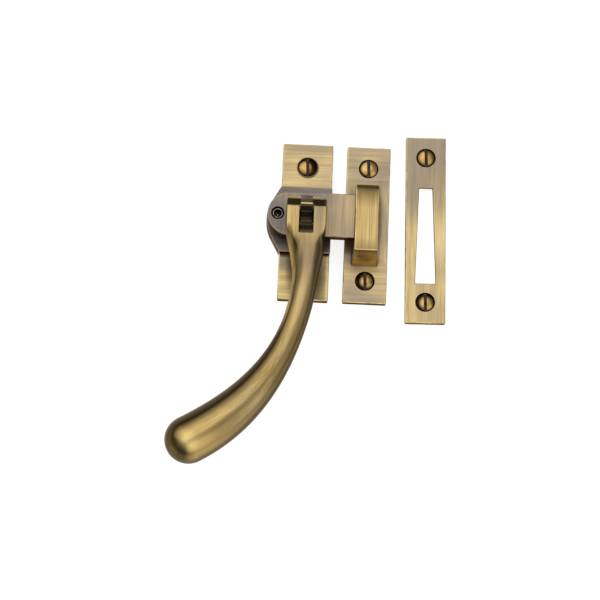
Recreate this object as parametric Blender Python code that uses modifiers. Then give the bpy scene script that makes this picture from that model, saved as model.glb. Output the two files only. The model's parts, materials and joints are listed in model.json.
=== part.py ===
"""Casement window fastener with its hook plate and mortice plate.

Metres, +Z up. The plates lie on the mounting plane z = 0 and face +Z. The spindle
axis is the Z axis, the tongue points along +X and the handle hangs along -Y.
"""

import math

import bmesh
import bpy
from mathutils import Matrix, Vector

# Clearances
FIT_GAP = 0.0003
SWEEP_GAP = 0.0006
CUT_OVER = 0.002
SINK = 0.001

# Base plate, boss and lobe
BASE_LENGTH = 0.0612
BASE_WIDTH = 0.019
BASE_THICK = 0.0035
BASE_SCREW_EDGE = 0.009
BOSS_LENGTH = 0.0256
BOSS_RISE = 0.0025
BOSS_PROUD = 0.00015
LOBE_RIM = 0.0021
LOBE_LIFT = 0.0003
EDGE_BEVEL = 0.0005

# Spindle and the washers on it
SPINDLE_DIA = 0.006
SPINDLE_HEAD_DIA = 0.0105
SPINDLE_HEAD_THICK = 0.0014
SPINDLE_SLOT_WIDTH = 0.0012
SPINDLE_SLOT_DEPTH = 0.0007
SPINDLE_BITE = 0.007
SPINDLE_RECESS = 0.0004
DISC_SPRING_DIA = 0.0112
DISC_SPRING_THICK = 0.0005
DISC_SPRING_CONE = 0.0005
THRUST_WASHER_DIA = 0.0118
THRUST_WASHER_THICK = 0.0006
FRICTION_WASHER_DIA = 0.013
FRICTION_WASHER_THICK = 0.0008

# Tongue
TONGUE_WIDTH = 0.017
TONGUE_THICK = 0.004
TAIL_RIM = 0.0018
HUB_DIA = 0.0126
HUB_RISE = 0.0022
SEAT_LENGTH = 0.0108
SEAT_RISE = 0.0046
SEAT_SIDE_STEP = 0.00035
LUG_FOOT = 0.0116
LUG_RADIUS = 0.0028

# Lock screw
LOCK_REACH = 0.0106
LOCK_DIA = 0.004
LOCK_RECESS = 0.0005
LOCK_TRAVEL = 0.0012
LOCK_KEY_ACROSS = 0.002
LOCK_KEY_DEPTH = 0.0022
LOCK_POINT = 0.0008
LOCK_MOUTH = 0.0002

# Handle
HEAD_WIDTH = 0.0147
HEAD_THICK = 0.007
HEAD_STRAIGHT = 0.0069
NECK_LENGTH = 0.0248
NECK_SHIFT = 0.0007
SHIFT_START = 0.0104
SHIFT_LENGTH = 0.0088
SLOT_WIDTH = 0.0051
SLOT_DEPTH = 0.0106
PIN_DIA = 0.003
PIN_INSET = 0.00025
WAIST_WIDTH = 0.0091
WAIST_THICK = 0.0074
BULB_DIA = 0.0175
STEM_START = 0.022
STEM_DROP = 0.012
STEM_BEND = (-0.004, -0.0471)
STEM_END = (-0.0399, -0.0675)
SWELL_START = 0.31
SWELL_RATE = 1.25
HEAD_SQUARENESS = 8.0
STEM_SQUARENESS = 2.8

# Hook plate and hook
SASH_GAP = 0.00545
HOOK_PLATE_LENGTH = 0.0612
HOOK_PLATE_WIDTH = 0.0164
HOOK_PLATE_THICK = 0.003
HOOK_SCREW_EDGE = 0.0085
HOOK_WIDTH = 0.0088
HOOK_SHIFT = -0.0005
HOOK_STRIP = 0.0031
HOOK_WALL = 0.0028
HOOK_ROOT = 0.0034
HOOK_BELOW = 0.0021
HOOK_ABOVE = 0.0035
HOOK_END_DRAFT = 0.0022
HOOK_SIDE_DRAFT = 0.0006
HOOK_NOSE_LENGTH = 0.004
HOOK_NOSE_DEPTH = 0.0024

# Mortice plate
PLATE_GAP = 0.0065
MORTICE_LENGTH = 0.073
MORTICE_WIDTH = 0.0152
MORTICE_THICK = 0.0025
MORTICE_DROP = 0.0007
MORTICE_TURN = math.radians(1.2)
MORTICE_SCREW_EDGE = 0.0081
MORTICE_SLOT_LENGTH = 0.0374
MORTICE_SLOT_DROP = 0.0024
MORTICE_SLOT_NARROW = 0.005
MORTICE_SLOT_WIDE = 0.0077

# Wood screws
SCREW_HEAD_DIA = 0.0069
SCREW_DOME = 0.0011
SCREW_SHANK_DIA = 0.0035
SCREW_LENGTH = 0.019
SCREW_POINT = 0.006
SCREW_TIP_DIA = 0.0006
SCREW_SLOT_WIDTH = 0.0011
SCREW_SLOT_DEPTH = 0.0014
SCREW_SLOT_TURN = math.radians(2.4)

# Facets
ROUND_STEPS = 32
SMALL_STEPS = 20
ARC_STEPS = 14
SECTION_POINTS = 24
HEAD_SECTIONS = 9
STEM_SECTIONS = 18
END_SECTIONS = 5
DOME_STEPS = 5
NOSE_STEPS = 6
SHARP_ANGLE = math.radians(35)
BEVEL_ANGLE = math.radians(40)
HEAD_END_LEAN = math.radians(80)

# Levels, from the mounting plane outwards
BOSS_FACE = BASE_THICK + BOSS_RISE
WASHER_BASE = BOSS_FACE + FIT_GAP
HUB_BASE = WASHER_BASE + FRICTION_WASHER_THICK + FIT_GAP
TONGUE_BACK = HUB_BASE + HUB_RISE
TONGUE_FACE = TONGUE_BACK + TONGUE_THICK
SEAT_FACE = TONGUE_FACE + SEAT_RISE
PIN_LEVEL = SEAT_FACE + FIT_GAP + HEAD_THICK / 2
HOOK_BACK = TONGUE_FACE + FIT_GAP
HOOK_FACE = HOOK_BACK + HOOK_STRIP

# The stack in the recess at the back of the base plate
SPINDLE_HEAD_TOP = SPINDLE_RECESS + SPINDLE_HEAD_THICK
SPRING_BASE = SPINDLE_HEAD_TOP + FIT_GAP
SPRING_TOP = SPRING_BASE + DISC_SPRING_THICK + DISC_SPRING_CONE
THRUST_BASE = SPRING_TOP + FIT_GAP
RECESS_DEPTH = THRUST_BASE + THRUST_WASHER_THICK + FIT_GAP
RECESS_DIA = max(THRUST_WASHER_DIA, DISC_SPRING_DIA, SPINDLE_HEAD_DIA) + 4 * FIT_GAP
SPINDLE_BORE = SPINDLE_DIA + 2 * FIT_GAP
SPINDLE_TOP = HUB_BASE + SPINDLE_BITE

# Places in the plane of the plates
LOBE_RADIUS = LOCK_REACH + LOCK_DIA / 2 + LOBE_RIM
TAIL_REACH = LOCK_REACH + LOCK_DIA / 2 + TAIL_RIM
TAIL_CENTRE = TONGUE_WIDTH / 2 - TAIL_REACH
HOOK_X = BASE_WIDTH / 2 + SASH_GAP + HOOK_PLATE_WIDTH / 2
HOOK_WALL_X = HOOK_X + HOOK_SHIFT + HOOK_WIDTH / 2 - HOOK_WALL
TONGUE_REACH = HOOK_WALL_X - SWEEP_GAP
HOOK_ROOT_Y = -TONGUE_WIDTH / 2 - HOOK_BELOW
HOOK_BOTTOM_Y = HOOK_ROOT_Y - HOOK_ROOT
HOOK_TOP_Y = TONGUE_WIDTH / 2 + HOOK_ABOVE
MORTICE_X = HOOK_X + HOOK_PLATE_WIDTH / 2 + PLATE_GAP + MORTICE_WIDTH / 2
PIN_BORE = PIN_DIA + 2 * FIT_GAP
LUG_WIDTH = SLOT_WIDTH - 2 * FIT_GAP
SCREW_SEAT_DIA = SCREW_HEAD_DIA + 2 * FIT_GAP
SCREW_BORE = SCREW_SHANK_DIA + 2 * FIT_GAP

# Colours are linear RGB
ANTIQUE_BRASS = (0.42, 0.29, 0.11)
TONGUE_BRASS = (0.33, 0.26, 0.16)
DARK_BRASS = (0.16, 0.11, 0.05)
STEEL = (0.55, 0.55, 0.55)
FIBRE = (0.05, 0.04, 0.03)


def clear_scene():
    for old in list(bpy.data.objects):
        bpy.data.objects.remove(old, do_unlink=True)


def new_collection(name):
    collection = bpy.data.collections.new(name)
    bpy.context.scene.collection.children.link(collection)
    return collection


def metal(name, colour, roughness, metallic=1.0):
    made = bpy.data.materials.new(name)
    made.use_nodes = True
    shader = made.node_tree.nodes["Principled BSDF"]
    shader.inputs["Base Color"].default_value = (*colour, 1.0)
    shader.inputs["Roughness"].default_value = roughness
    shader.inputs["Metallic"].default_value = metallic
    return made


def add_object(name, data, collection, parent=None, at=(0.0, 0.0, 0.0), turn=0.0):
    made = bpy.data.objects.new(name, data)
    made.parent = parent
    made.location = at
    made.rotation_euler = (0.0, 0.0, turn)
    collection.objects.link(made)
    return made


def as_part(piece, colour):
    """Shade a finished piece and give it its material."""
    piece.data.materials.clear()
    piece.data.materials.append(colour)
    piece.data.shade_smooth()
    piece.data.set_sharp_from_angle(angle=SHARP_ANGLE)
    return piece


def as_cutter(piece):
    piece.hide_render = True
    piece.display_type = "WIRE"
    return piece


def bevelled(piece, width):
    edge = piece.modifiers.new("edge", "BEVEL")
    edge.width = width
    edge.limit_method = "ANGLE"
    edge.angle_limit = BEVEL_ANGLE
    return piece


def boolean(piece, other, operation):
    cut = piece.modifiers.new(other.name, "BOOLEAN")
    cut.operation = operation
    cut.solver = "EXACT"
    cut.object = as_cutter(other)
    return piece


def box_mesh(name, low, high):
    """A box between two corners."""
    low, high = Vector(low), Vector(high)
    size = high - low
    shape = bmesh.new()
    place = Matrix.Translation((low + high) / 2) @ Matrix.Diagonal((*size, 1.0))
    bmesh.ops.create_cube(shape, size=1.0, matrix=place)
    mesh = bpy.data.meshes.new(name)
    shape.to_mesh(mesh)
    shape.free()
    return mesh


def rod_mesh(name, diameter, start, end, steps=ROUND_STEPS):
    """A closed round rod between two points."""
    start, end = Vector(start), Vector(end)
    along = end - start
    turn = Vector((0.0, 0.0, 1.0)).rotation_difference(along).to_matrix().to_4x4()
    shape = bmesh.new()
    bmesh.ops.create_cone(
        shape,
        cap_ends=True,
        segments=steps,
        radius1=diameter / 2,
        radius2=diameter / 2,
        depth=along.length,
        matrix=Matrix.Translation((start + end) / 2) @ turn,
    )
    mesh = bpy.data.meshes.new(name)
    shape.to_mesh(mesh)
    shape.free()
    return mesh


def turned(name, profile, collection, steps=ROUND_STEPS, **place):
    """A turned shape from (radius, height) points that run from the top to the bottom."""
    mesh = bpy.data.meshes.new(name)
    edges = [(i, i + 1) for i in range(len(profile) - 1)]
    mesh.from_pydata([(radius, 0.0, height) for radius, height in profile], edges, [])
    piece = add_object(name, mesh, collection, **place)
    spin = piece.modifiers.new("turn", "SCREW")
    spin.angle = math.tau
    spin.steps = steps
    spin.render_steps = steps
    spin.use_merge_vertices = True
    spin.merge_threshold = 0.00001
    return piece


def ring(name, inner, outer, low, high, collection, **place):
    """A flat washer: its profile is closed, so it turns into one ring."""
    profile = [(inner, high), (outer, high), (outer, low), (inner, low), (inner, high)]
    return turned(name, profile, collection, **place)


def prism_mesh(name, outline, low, high, along="Z"):
    """A flat outline extruded from low to high along Z, or a (y, z) outline along X."""
    curve = bpy.data.curves.new(name, "CURVE")
    curve.dimensions = "2D"
    curve.fill_mode = "BOTH"
    curve.extrude = (high - low) / 2
    spline = curve.splines.new("POLY")
    spline.points.add(len(outline) - 1)
    for point, (u, v) in zip(spline.points, outline):
        point.co = (u, v, 0.0, 1.0)
    spline.use_cyclic_u = True
    flat = bpy.data.objects.new(name, curve)
    bpy.context.scene.collection.objects.link(flat)
    graph = bpy.context.evaluated_depsgraph_get()
    mesh = bpy.data.meshes.new_from_object(flat.evaluated_get(graph))
    bpy.data.objects.remove(flat, do_unlink=True)
    shape = bmesh.new()
    shape.from_mesh(mesh)
    bmesh.ops.remove_doubles(shape, verts=shape.verts, dist=0.000001)
    bmesh.ops.translate(shape, verts=shape.verts, vec=(0.0, 0.0, (low + high) / 2))
    if along == "X":
        turn = Matrix(((0, 0, 1), (1, 0, 0), (0, 1, 0)))
        bmesh.ops.transform(shape, matrix=turn.to_4x4(), verts=shape.verts)
    bmesh.ops.recalc_face_normals(shape, faces=shape.faces)
    bmesh.ops.dissolve_limit(
        shape, angle_limit=math.radians(0.5), verts=shape.verts, edges=shape.edges
    )
    shape.to_mesh(mesh)
    shape.free()
    mesh.name = name
    return mesh


def arc(centre, radius, start, end, steps=ARC_STEPS):
    """Points of an arc, with both its ends."""
    points = []
    for step in range(steps + 1):
        angle = start + (end - start) * step / steps
        x = centre[0] + radius * math.cos(angle)
        y = centre[1] + radius * math.sin(angle)
        points.append((x, y))
    return points


def ease(share):
    """A smooth step from 0 to 1."""
    share = min(max(share, 0.0), 1.0)
    return share * share * (3.0 - 2.0 * share)


def mix(start, end, share):
    return start + (end - start) * share


def screw_profile():
    """Raised countersunk head, plain shank and point, from the dome to the tip."""
    head = SCREW_HEAD_DIA / 2
    shank = SCREW_SHANK_DIA / 2
    sphere = (head * head + SCREW_DOME * SCREW_DOME) / (2 * SCREW_DOME)
    half_angle = math.asin(head / sphere)
    profile = []
    for step in range(DOME_STEPS + 1):
        angle = half_angle * step / DOME_STEPS
        height = SCREW_DOME - sphere * (1 - math.cos(angle))
        profile.append((sphere * math.sin(angle), height))
    profile.append((shank, -(head - shank)))
    profile.append((shank, -(SCREW_LENGTH - SCREW_POINT)))
    profile.append((SCREW_TIP_DIA / 2, -SCREW_LENGTH))
    profile.append((0.0, -SCREW_LENGTH))
    return profile


def wood_screw(name, seat, at, face):
    """A screw whose head rim is level with the face of its plate."""
    place = {"parent": seat, "at": (*at, face), "turn": SCREW_SLOT_TURN}
    screw = turned(name, screw_profile(), PARTS, SMALL_STEPS, **place)
    slot = box_mesh(
        name + "_slot",
        (-SCREW_SLOT_WIDTH / 2, -SCREW_HEAD_DIA, SCREW_DOME - SCREW_SLOT_DEPTH),
        (SCREW_SLOT_WIDTH / 2, SCREW_HEAD_DIA, SCREW_DOME + CUT_OVER),
    )
    boolean(screw, add_object(name + "_slot", slot, CUTTERS, **place), "DIFFERENCE")
    return as_part(screw, BRASS)


def screw_hole(plate, name, seat, at, face):
    """Cut a countersunk clearance hole through a plate."""
    seat_radius = SCREW_SEAT_DIA / 2
    bore = SCREW_BORE / 2
    profile = [
        (0.0, face + CUT_OVER),
        (seat_radius + CUT_OVER, face + CUT_OVER),
        (bore, face - (seat_radius - bore)),
        (bore, -CUT_OVER),
        (0.0, -CUT_OVER),
    ]
    cutter = turned(name, profile, CUTTERS, SMALL_STEPS, parent=seat, at=(*at, 0.0))
    return boolean(plate, cutter, "DIFFERENCE")


def screwed_plate(stem, seat, size, edge):
    """A flat plate with a countersunk screw near each end."""
    width, length, thick = size
    mesh = box_mesh(stem, (-width / 2, -length / 2, 0.0), (width / 2, length / 2, thick))
    plate = bevelled(add_object(stem + "_plate", mesh, PARTS, seat), EDGE_BEVEL)
    spot = length / 2 - edge
    screws = (("upper", spot), ("lower", -spot))
    return plate, screws


def finish_screws(stem, plate, seat, screws, face):
    for place, y in screws:
        screw_hole(plate, f"{stem}_{place}_hole", seat, (0.0, y), face)
        wood_screw(f"{stem}_screw_{place}", seat, (0.0, y), face)


def lobe_reach(side, half):
    """Half the angle of the lobe's arc, whose ends run straight to the corners of the boss."""
    corner = math.hypot(side, half)
    if corner <= LOBE_RADIUS:
        return math.acos(side / LOBE_RADIUS)
    return math.atan2(half, side) - math.acos(LOBE_RADIUS / corner)


def base_plate():
    plate, screws = screwed_plate(
        "base", None, (BASE_WIDTH, BASE_LENGTH, BASE_THICK), BASE_SCREW_EDGE
    )
    side = BASE_WIDTH / 2 + BOSS_PROUD
    half = BOSS_LENGTH / 2
    meet = lobe_reach(side, half)
    outline = [(side, -half), (side, half), (-side, half)]
    outline += arc((0.0, 0.0), LOBE_RADIUS, math.pi - meet, math.pi + meet)
    outline += [(-side, -half)]
    boss = add_object("boss", prism_mesh("boss", outline, LOBE_LIFT, BOSS_FACE), CUTTERS)
    boolean(plate, bevelled(boss, EDGE_BEVEL), "UNION")
    axis_low = (0.0, 0.0, -CUT_OVER)
    bore = rod_mesh("spindle_hole", SPINDLE_BORE, axis_low, (0.0, 0.0, BOSS_FACE + CUT_OVER))
    boolean(plate, add_object("spindle_hole", bore, CUTTERS), "DIFFERENCE")
    recess = rod_mesh("back_recess", RECESS_DIA, axis_low, (0.0, 0.0, RECESS_DEPTH))
    boolean(plate, add_object("back_recess", recess, CUTTERS), "DIFFERENCE")
    finish_screws("base", plate, None, screws, BASE_THICK)
    return as_part(plate, BRASS)


def spindle():
    head = SPINDLE_HEAD_DIA / 2
    shaft = SPINDLE_DIA / 2
    profile = [
        (0.0, SPINDLE_TOP),
        (shaft, SPINDLE_TOP),
        (shaft, SPINDLE_HEAD_TOP),
        (head, SPINDLE_HEAD_TOP),
        (head, SPINDLE_RECESS),
        (0.0, SPINDLE_RECESS),
    ]
    piece = turned("spindle", profile, PARTS)
    slot = box_mesh(
        "spindle_slot",
        (-head * 2, -SPINDLE_SLOT_WIDTH / 2, SPINDLE_RECESS - CUT_OVER),
        (head * 2, SPINDLE_SLOT_WIDTH / 2, SPINDLE_RECESS + SPINDLE_SLOT_DEPTH),
    )
    boolean(piece, add_object("spindle_slot", slot, CUTTERS), "DIFFERENCE")
    return as_part(piece, STEEL_FINISH)


def washers():
    inner = SPINDLE_BORE / 2
    outer = FRICTION_WASHER_DIA / 2
    top = WASHER_BASE + FRICTION_WASHER_THICK
    as_part(ring("friction_washer", inner, outer, WASHER_BASE, top, PARTS), FIBRE_FINISH)
    outer = THRUST_WASHER_DIA / 2
    top = THRUST_BASE + THRUST_WASHER_THICK
    as_part(ring("thrust_washer", inner, outer, THRUST_BASE, top, PARTS), STEEL_FINISH)
    outer = DISC_SPRING_DIA / 2
    cone = [
        (inner, SPRING_TOP),
        (outer, SPRING_BASE + DISC_SPRING_THICK),
        (outer, SPRING_BASE),
        (inner, SPRING_BASE + DISC_SPRING_CONE),
        (inner, SPRING_TOP),
    ]
    as_part(turned("disc_spring", cone, PARTS), STEEL_FINISH)


def lug_outline():
    """The knuckle lug from the side: a foot on the tongue that rises to a round eye."""
    foot = LUG_FOOT / 2
    reach = math.hypot(foot, PIN_LEVEL - SEAT_FACE)
    down = math.atan2(SEAT_FACE - PIN_LEVEL, foot)
    tangent = down + math.acos(LUG_RADIUS / reach)
    low = TONGUE_FACE - SINK
    outline = [(-foot, low), (foot, low), (foot, SEAT_FACE)]
    outline += arc((0.0, PIN_LEVEL), LUG_RADIUS, tangent, math.pi - tangent)
    outline += [(-foot, SEAT_FACE)]
    return outline


def tongue():
    half = TONGUE_WIDTH / 2
    corner = math.asin(half / TONGUE_REACH)
    quarter = math.pi / 2
    outline = arc((TAIL_CENTRE, 0.0), half, quarter, 3 * quarter)
    outline += arc((0.0, 0.0), TONGUE_REACH, -corner, corner)
    bar = prism_mesh("tongue", outline, TONGUE_BACK, TONGUE_FACE)
    piece = bevelled(add_object("tongue", bar, PARTS), EDGE_BEVEL)
    hub = rod_mesh("hub", HUB_DIA, (0.0, 0.0, HUB_BASE), (0.0, 0.0, TONGUE_BACK + SINK))
    boolean(piece, add_object("hub", hub, CUTTERS), "UNION")
    seat_side = HEAD_WIDTH / 2 - SEAT_SIDE_STEP
    seat = box_mesh(
        "seat",
        (-seat_side, -SEAT_LENGTH / 2, TONGUE_FACE - SINK),
        (seat_side, SEAT_LENGTH / 2, SEAT_FACE),
    )
    boolean(piece, bevelled(add_object("seat", seat, CUTTERS), EDGE_BEVEL), "UNION")
    lug = prism_mesh("lug", lug_outline(), -LUG_WIDTH / 2, LUG_WIDTH / 2, "X")
    boolean(piece, add_object("lug", lug, CUTTERS), "UNION")
    bore_low = (0.0, 0.0, HUB_BASE - CUT_OVER)
    bore_top = (0.0, 0.0, SPINDLE_TOP + FIT_GAP)
    bore = rod_mesh("spindle_socket", SPINDLE_BORE, bore_low, bore_top)
    boolean(piece, add_object("spindle_socket", bore, CUTTERS), "DIFFERENCE")
    across = (HEAD_WIDTH, 0.0, PIN_LEVEL)
    eye = rod_mesh("lug_eye", PIN_BORE, (-HEAD_WIDTH, 0.0, PIN_LEVEL), across, SMALL_STEPS)
    boolean(piece, add_object("lug_eye", eye, CUTTERS), "DIFFERENCE")
    lock_bore = LOCK_DIA / 2 + FIT_GAP
    mouth = lock_bore + LOCK_MOUTH
    profile = [
        (0.0, TONGUE_FACE + CUT_OVER),
        (mouth + CUT_OVER, TONGUE_FACE + CUT_OVER),
        (lock_bore, TONGUE_FACE - LOCK_MOUTH),
        (lock_bore, TONGUE_BACK - CUT_OVER),
        (0.0, TONGUE_BACK - CUT_OVER),
    ]
    at = (-LOCK_REACH, 0.0, 0.0)
    hole = turned("lock_hole", profile, CUTTERS, SMALL_STEPS, at=at)
    boolean(piece, hole, "DIFFERENCE")
    return as_part(piece, TONGUE_FINISH)


def lock_screw():
    """Grub screw whose point clears the lobe by its travel and one gap."""
    top = TONGUE_FACE - LOCK_RECESS
    low = BOSS_FACE + FIT_GAP + LOCK_TRAVEL
    radius = LOCK_DIA / 2
    profile = [
        (0.0, top),
        (radius, top),
        (radius, low + LOCK_POINT),
        (radius - LOCK_POINT, low),
        (0.0, low),
    ]
    at = (-LOCK_REACH, 0.0, 0.0)
    piece = turned("lock_screw", profile, PARTS, SMALL_STEPS, at=at)
    hexagon = arc((0.0, 0.0), LOCK_KEY_ACROSS / math.sqrt(3), 0.0, math.tau, 6)[:-1]
    key = prism_mesh("key_socket", hexagon, top - LOCK_KEY_DEPTH, top + CUT_OVER)
    boolean(piece, add_object("key_socket", key, CUTTERS, at=at), "DIFFERENCE")
    return as_part(piece, STEEL_FINISH)


def handle_section(centre, across, half_width, half_thick, squareness):
    """One rounded section of the handle, square to its centre line."""
    points = []
    for step in range(SECTION_POINTS):
        angle = math.tau * step / SECTION_POINTS
        power = 2.0 / squareness
        u = math.copysign(abs(math.cos(angle)) ** power, math.cos(angle)) * half_width
        w = math.copysign(abs(math.sin(angle)) ** power, math.sin(angle)) * half_thick
        points.append(Vector((centre[0] + across[0] * u, centre[1] + across[1] * u, w)))
    return points


def handle_sections():
    """Sections from the round end of the fork to the tip of the bulb."""
    sections = []
    eye = HEAD_THICK / 2
    for step in range(END_SECTIONS):
        lean = HEAD_END_LEAN * (1 - step / END_SECTIONS)
        centre = (0.0, eye * math.sin(lean))
        sections.append(
            handle_section(
                centre, (1.0, 0.0), HEAD_WIDTH / 2, eye * math.cos(lean), HEAD_SQUARENESS
            )
        )
    for step in range(HEAD_SECTIONS):
        drop = STEM_START * step / HEAD_SECTIONS
        neck = ease((drop - HEAD_STRAIGHT) / NECK_LENGTH)
        side = NECK_SHIFT * ease((drop - SHIFT_START) / SHIFT_LENGTH)
        sections.append(
            handle_section(
                (side, -drop),
                (1.0, 0.0),
                mix(HEAD_WIDTH, WAIST_WIDTH, neck) / 2,
                mix(HEAD_THICK, WAIST_THICK, neck) / 2,
                mix(HEAD_SQUARENESS, STEM_SQUARENESS, neck),
            )
        )
    start = Vector((NECK_SHIFT, -STEM_START))
    controls = (
        start,
        start + Vector((0.0, -STEM_DROP)),
        start + Vector(STEM_BEND),
        start + Vector(STEM_END),
    )
    for step in range(STEM_SECTIONS + 1):
        share = step / STEM_SECTIONS
        back = 1.0 - share
        centre = (
            controls[0] * back**3
            + controls[1] * 3 * back**2 * share
            + controls[2] * 3 * back * share**2
            + controls[3] * share**3
        )
        along = (
            (controls[1] - controls[0]) * back**2
            + (controls[2] - controls[1]) * 2 * back * share
            + (controls[3] - controls[2]) * share**2
        ).normalized()
        across = (-along[1], along[0])
        neck = ease((-centre[1] - HEAD_STRAIGHT) / NECK_LENGTH)
        grown = max(share - SWELL_START, 0.0) / (1.0 - SWELL_START)
        swell = ease(grown**SWELL_RATE)
        width = mix(mix(HEAD_WIDTH, WAIST_WIDTH, neck), BULB_DIA, swell)
        thick = mix(mix(HEAD_THICK, WAIST_THICK, neck), BULB_DIA, swell)
        squareness = mix(mix(HEAD_SQUARENESS, STEM_SQUARENESS, neck), 2.0, swell)
        sections.append(handle_section(centre, across, width / 2, thick / 2, squareness))
    for step in range(1, END_SECTIONS + 1):
        lean = math.pi / 2 * step / (END_SECTIONS + 1)
        radius = BULB_DIA / 2
        end = centre + along * radius * math.sin(lean)
        sections.append(
            handle_section(end, across, radius * math.cos(lean), radius * math.cos(lean), 2.0)
        )
    tip = centre + along * BULB_DIA / 2
    return sections, Vector((tip[0], tip[1], 0.0))


def handle():
    sections, tip = handle_sections()
    shape = bmesh.new()
    rings = [[shape.verts.new(point) for point in section] for section in sections]
    count = SECTION_POINTS
    for above, below in zip(rings, rings[1:]):
        for i in range(count):
            j = (i + 1) % count
            shape.faces.new((above[i], above[j], below[j], below[i]))
    shape.faces.new(rings[0])
    end = shape.verts.new(tip)
    for i in range(count):
        shape.faces.new((rings[-1][i], rings[-1][(i + 1) % count], end))
    bmesh.ops.recalc_face_normals(shape, faces=shape.faces)
    mesh = bpy.data.meshes.new("handle")
    shape.to_mesh(mesh)
    shape.free()
    at = (0.0, 0.0, PIN_LEVEL)
    piece = add_object("handle", mesh, PARTS, at=at)
    slot = box_mesh(
        "fork_slot",
        (-SLOT_WIDTH / 2, -SLOT_DEPTH, -HEAD_THICK),
        (SLOT_WIDTH / 2, HEAD_THICK, HEAD_THICK),
    )
    boolean(piece, add_object("fork_slot", slot, CUTTERS, at=at), "DIFFERENCE")
    side = HEAD_WIDTH
    eye = rod_mesh("fork_eye", PIN_BORE, (-side, 0.0, 0.0), (side, 0.0, 0.0), SMALL_STEPS)
    boolean(piece, add_object("fork_eye", eye, CUTTERS, at=at), "DIFFERENCE")
    as_part(piece, BRASS)
    side = HEAD_WIDTH / 2 - PIN_INSET
    pin = rod_mesh("handle_pin", PIN_DIA, (-side, 0.0, 0.0), (side, 0.0, 0.0), SMALL_STEPS)
    as_part(add_object("handle_pin", pin, PARTS, at=at), DARK_FINISH)


def hook_outline():
    """The hook from the side: a drafted block whose free end is rounded over."""
    foot = HOOK_PLATE_THICK - SINK
    outline = [(HOOK_BOTTOM_Y - HOOK_END_DRAFT, foot), (HOOK_TOP_Y, foot)]
    for across, up in arc((0.0, 0.0), 1.0, 0.0, math.pi / 2, NOSE_STEPS):
        y = HOOK_TOP_Y - HOOK_NOSE_LENGTH * (1.0 - across)
        z = HOOK_FACE - HOOK_NOSE_DEPTH * (1.0 - up)
        outline.append((y, z))
    outline += [(HOOK_BOTTOM_Y, HOOK_FACE)]
    return outline


def hook_plate():
    seat = bpy.data.objects.new("hook_seat", None)
    PARTS.objects.link(seat)
    seat.location = (HOOK_X, 0.0, 0.0)
    plate, screws = screwed_plate(
        "hook", seat, (HOOK_PLATE_WIDTH, HOOK_PLATE_LENGTH, HOOK_PLATE_THICK), HOOK_SCREW_EDGE
    )
    mesh = prism_mesh("hook", hook_outline(), -HOOK_WIDTH / 2, HOOK_WIDTH / 2, "X")
    height = HOOK_FACE - HOOK_PLATE_THICK
    for vertex in mesh.vertices:
        depth = (HOOK_FACE - vertex.co.z) / height
        vertex.co.x += math.copysign(HOOK_SIDE_DRAFT * depth, vertex.co.x)
    at = (HOOK_SHIFT, 0.0, 0.0)
    hook = bevelled(add_object("hook", mesh, CUTTERS, seat, at), EDGE_BEVEL)
    wall = HOOK_WALL_X - HOOK_X
    space = box_mesh(
        "hook_space",
        (-HOOK_PLATE_WIDTH, HOOK_ROOT_Y, HOOK_PLATE_THICK - 2 * SINK),
        (wall, HOOK_PLATE_LENGTH / 2, HOOK_BACK),
    )
    boolean(hook, add_object("hook_space", space, CUTTERS, seat), "DIFFERENCE")
    boolean(plate, hook, "UNION")
    finish_screws("hook", plate, seat, screws, HOOK_PLATE_THICK)
    return as_part(plate, BRASS)


def mortice_plate():
    seat = bpy.data.objects.new("mortice_seat", None)
    PARTS.objects.link(seat)
    seat.location = (MORTICE_X, -MORTICE_DROP, 0.0)
    seat.rotation_euler = (0.0, 0.0, MORTICE_TURN)
    plate, screws = screwed_plate(
        "mortice", seat, (MORTICE_WIDTH, MORTICE_LENGTH, MORTICE_THICK), MORTICE_SCREW_EDGE
    )
    top = MORTICE_SLOT_LENGTH / 2 - MORTICE_SLOT_DROP
    low = top - MORTICE_SLOT_LENGTH
    narrow = MORTICE_SLOT_NARROW / 2
    wide = MORTICE_SLOT_WIDE / 2
    outline = [(-narrow, top), (-wide, low), (wide, low), (narrow, top)]
    slot = prism_mesh("mortice_slot", outline, -CUT_OVER, MORTICE_THICK + CUT_OVER)
    boolean(plate, add_object("mortice_slot", slot, CUTTERS, seat), "DIFFERENCE")
    finish_screws("mortice", plate, seat, screws, MORTICE_THICK)
    return as_part(plate, BRASS)


clear_scene()
PARTS = new_collection("casement_window_fastener")
CUTTERS = new_collection("cutters")
BRASS = metal("antique_brass", ANTIQUE_BRASS, 0.38)
TONGUE_FINISH = metal("tongue_brass", TONGUE_BRASS, 0.42)
DARK_FINISH = metal("dark_brass", DARK_BRASS, 0.45)
STEEL_FINISH = metal("steel", STEEL, 0.3)
FIBRE_FINISH = metal("washer_fibre", FIBRE, 0.8, 0.0)
base_plate()
spindle()
washers()
tongue()
lock_screw()
handle()
hook_plate()
mortice_plate()
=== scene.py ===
"""The looks of a casement window fastener: fine meshes, worn brass with painted light and shade, studio
and camera.

Metres, in the frame of the CAD model: the plates lie on z = 0 and face +Z.
"""

import json
import math

import bmesh
import bpy
from mathutils import Matrix, Vector

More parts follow.
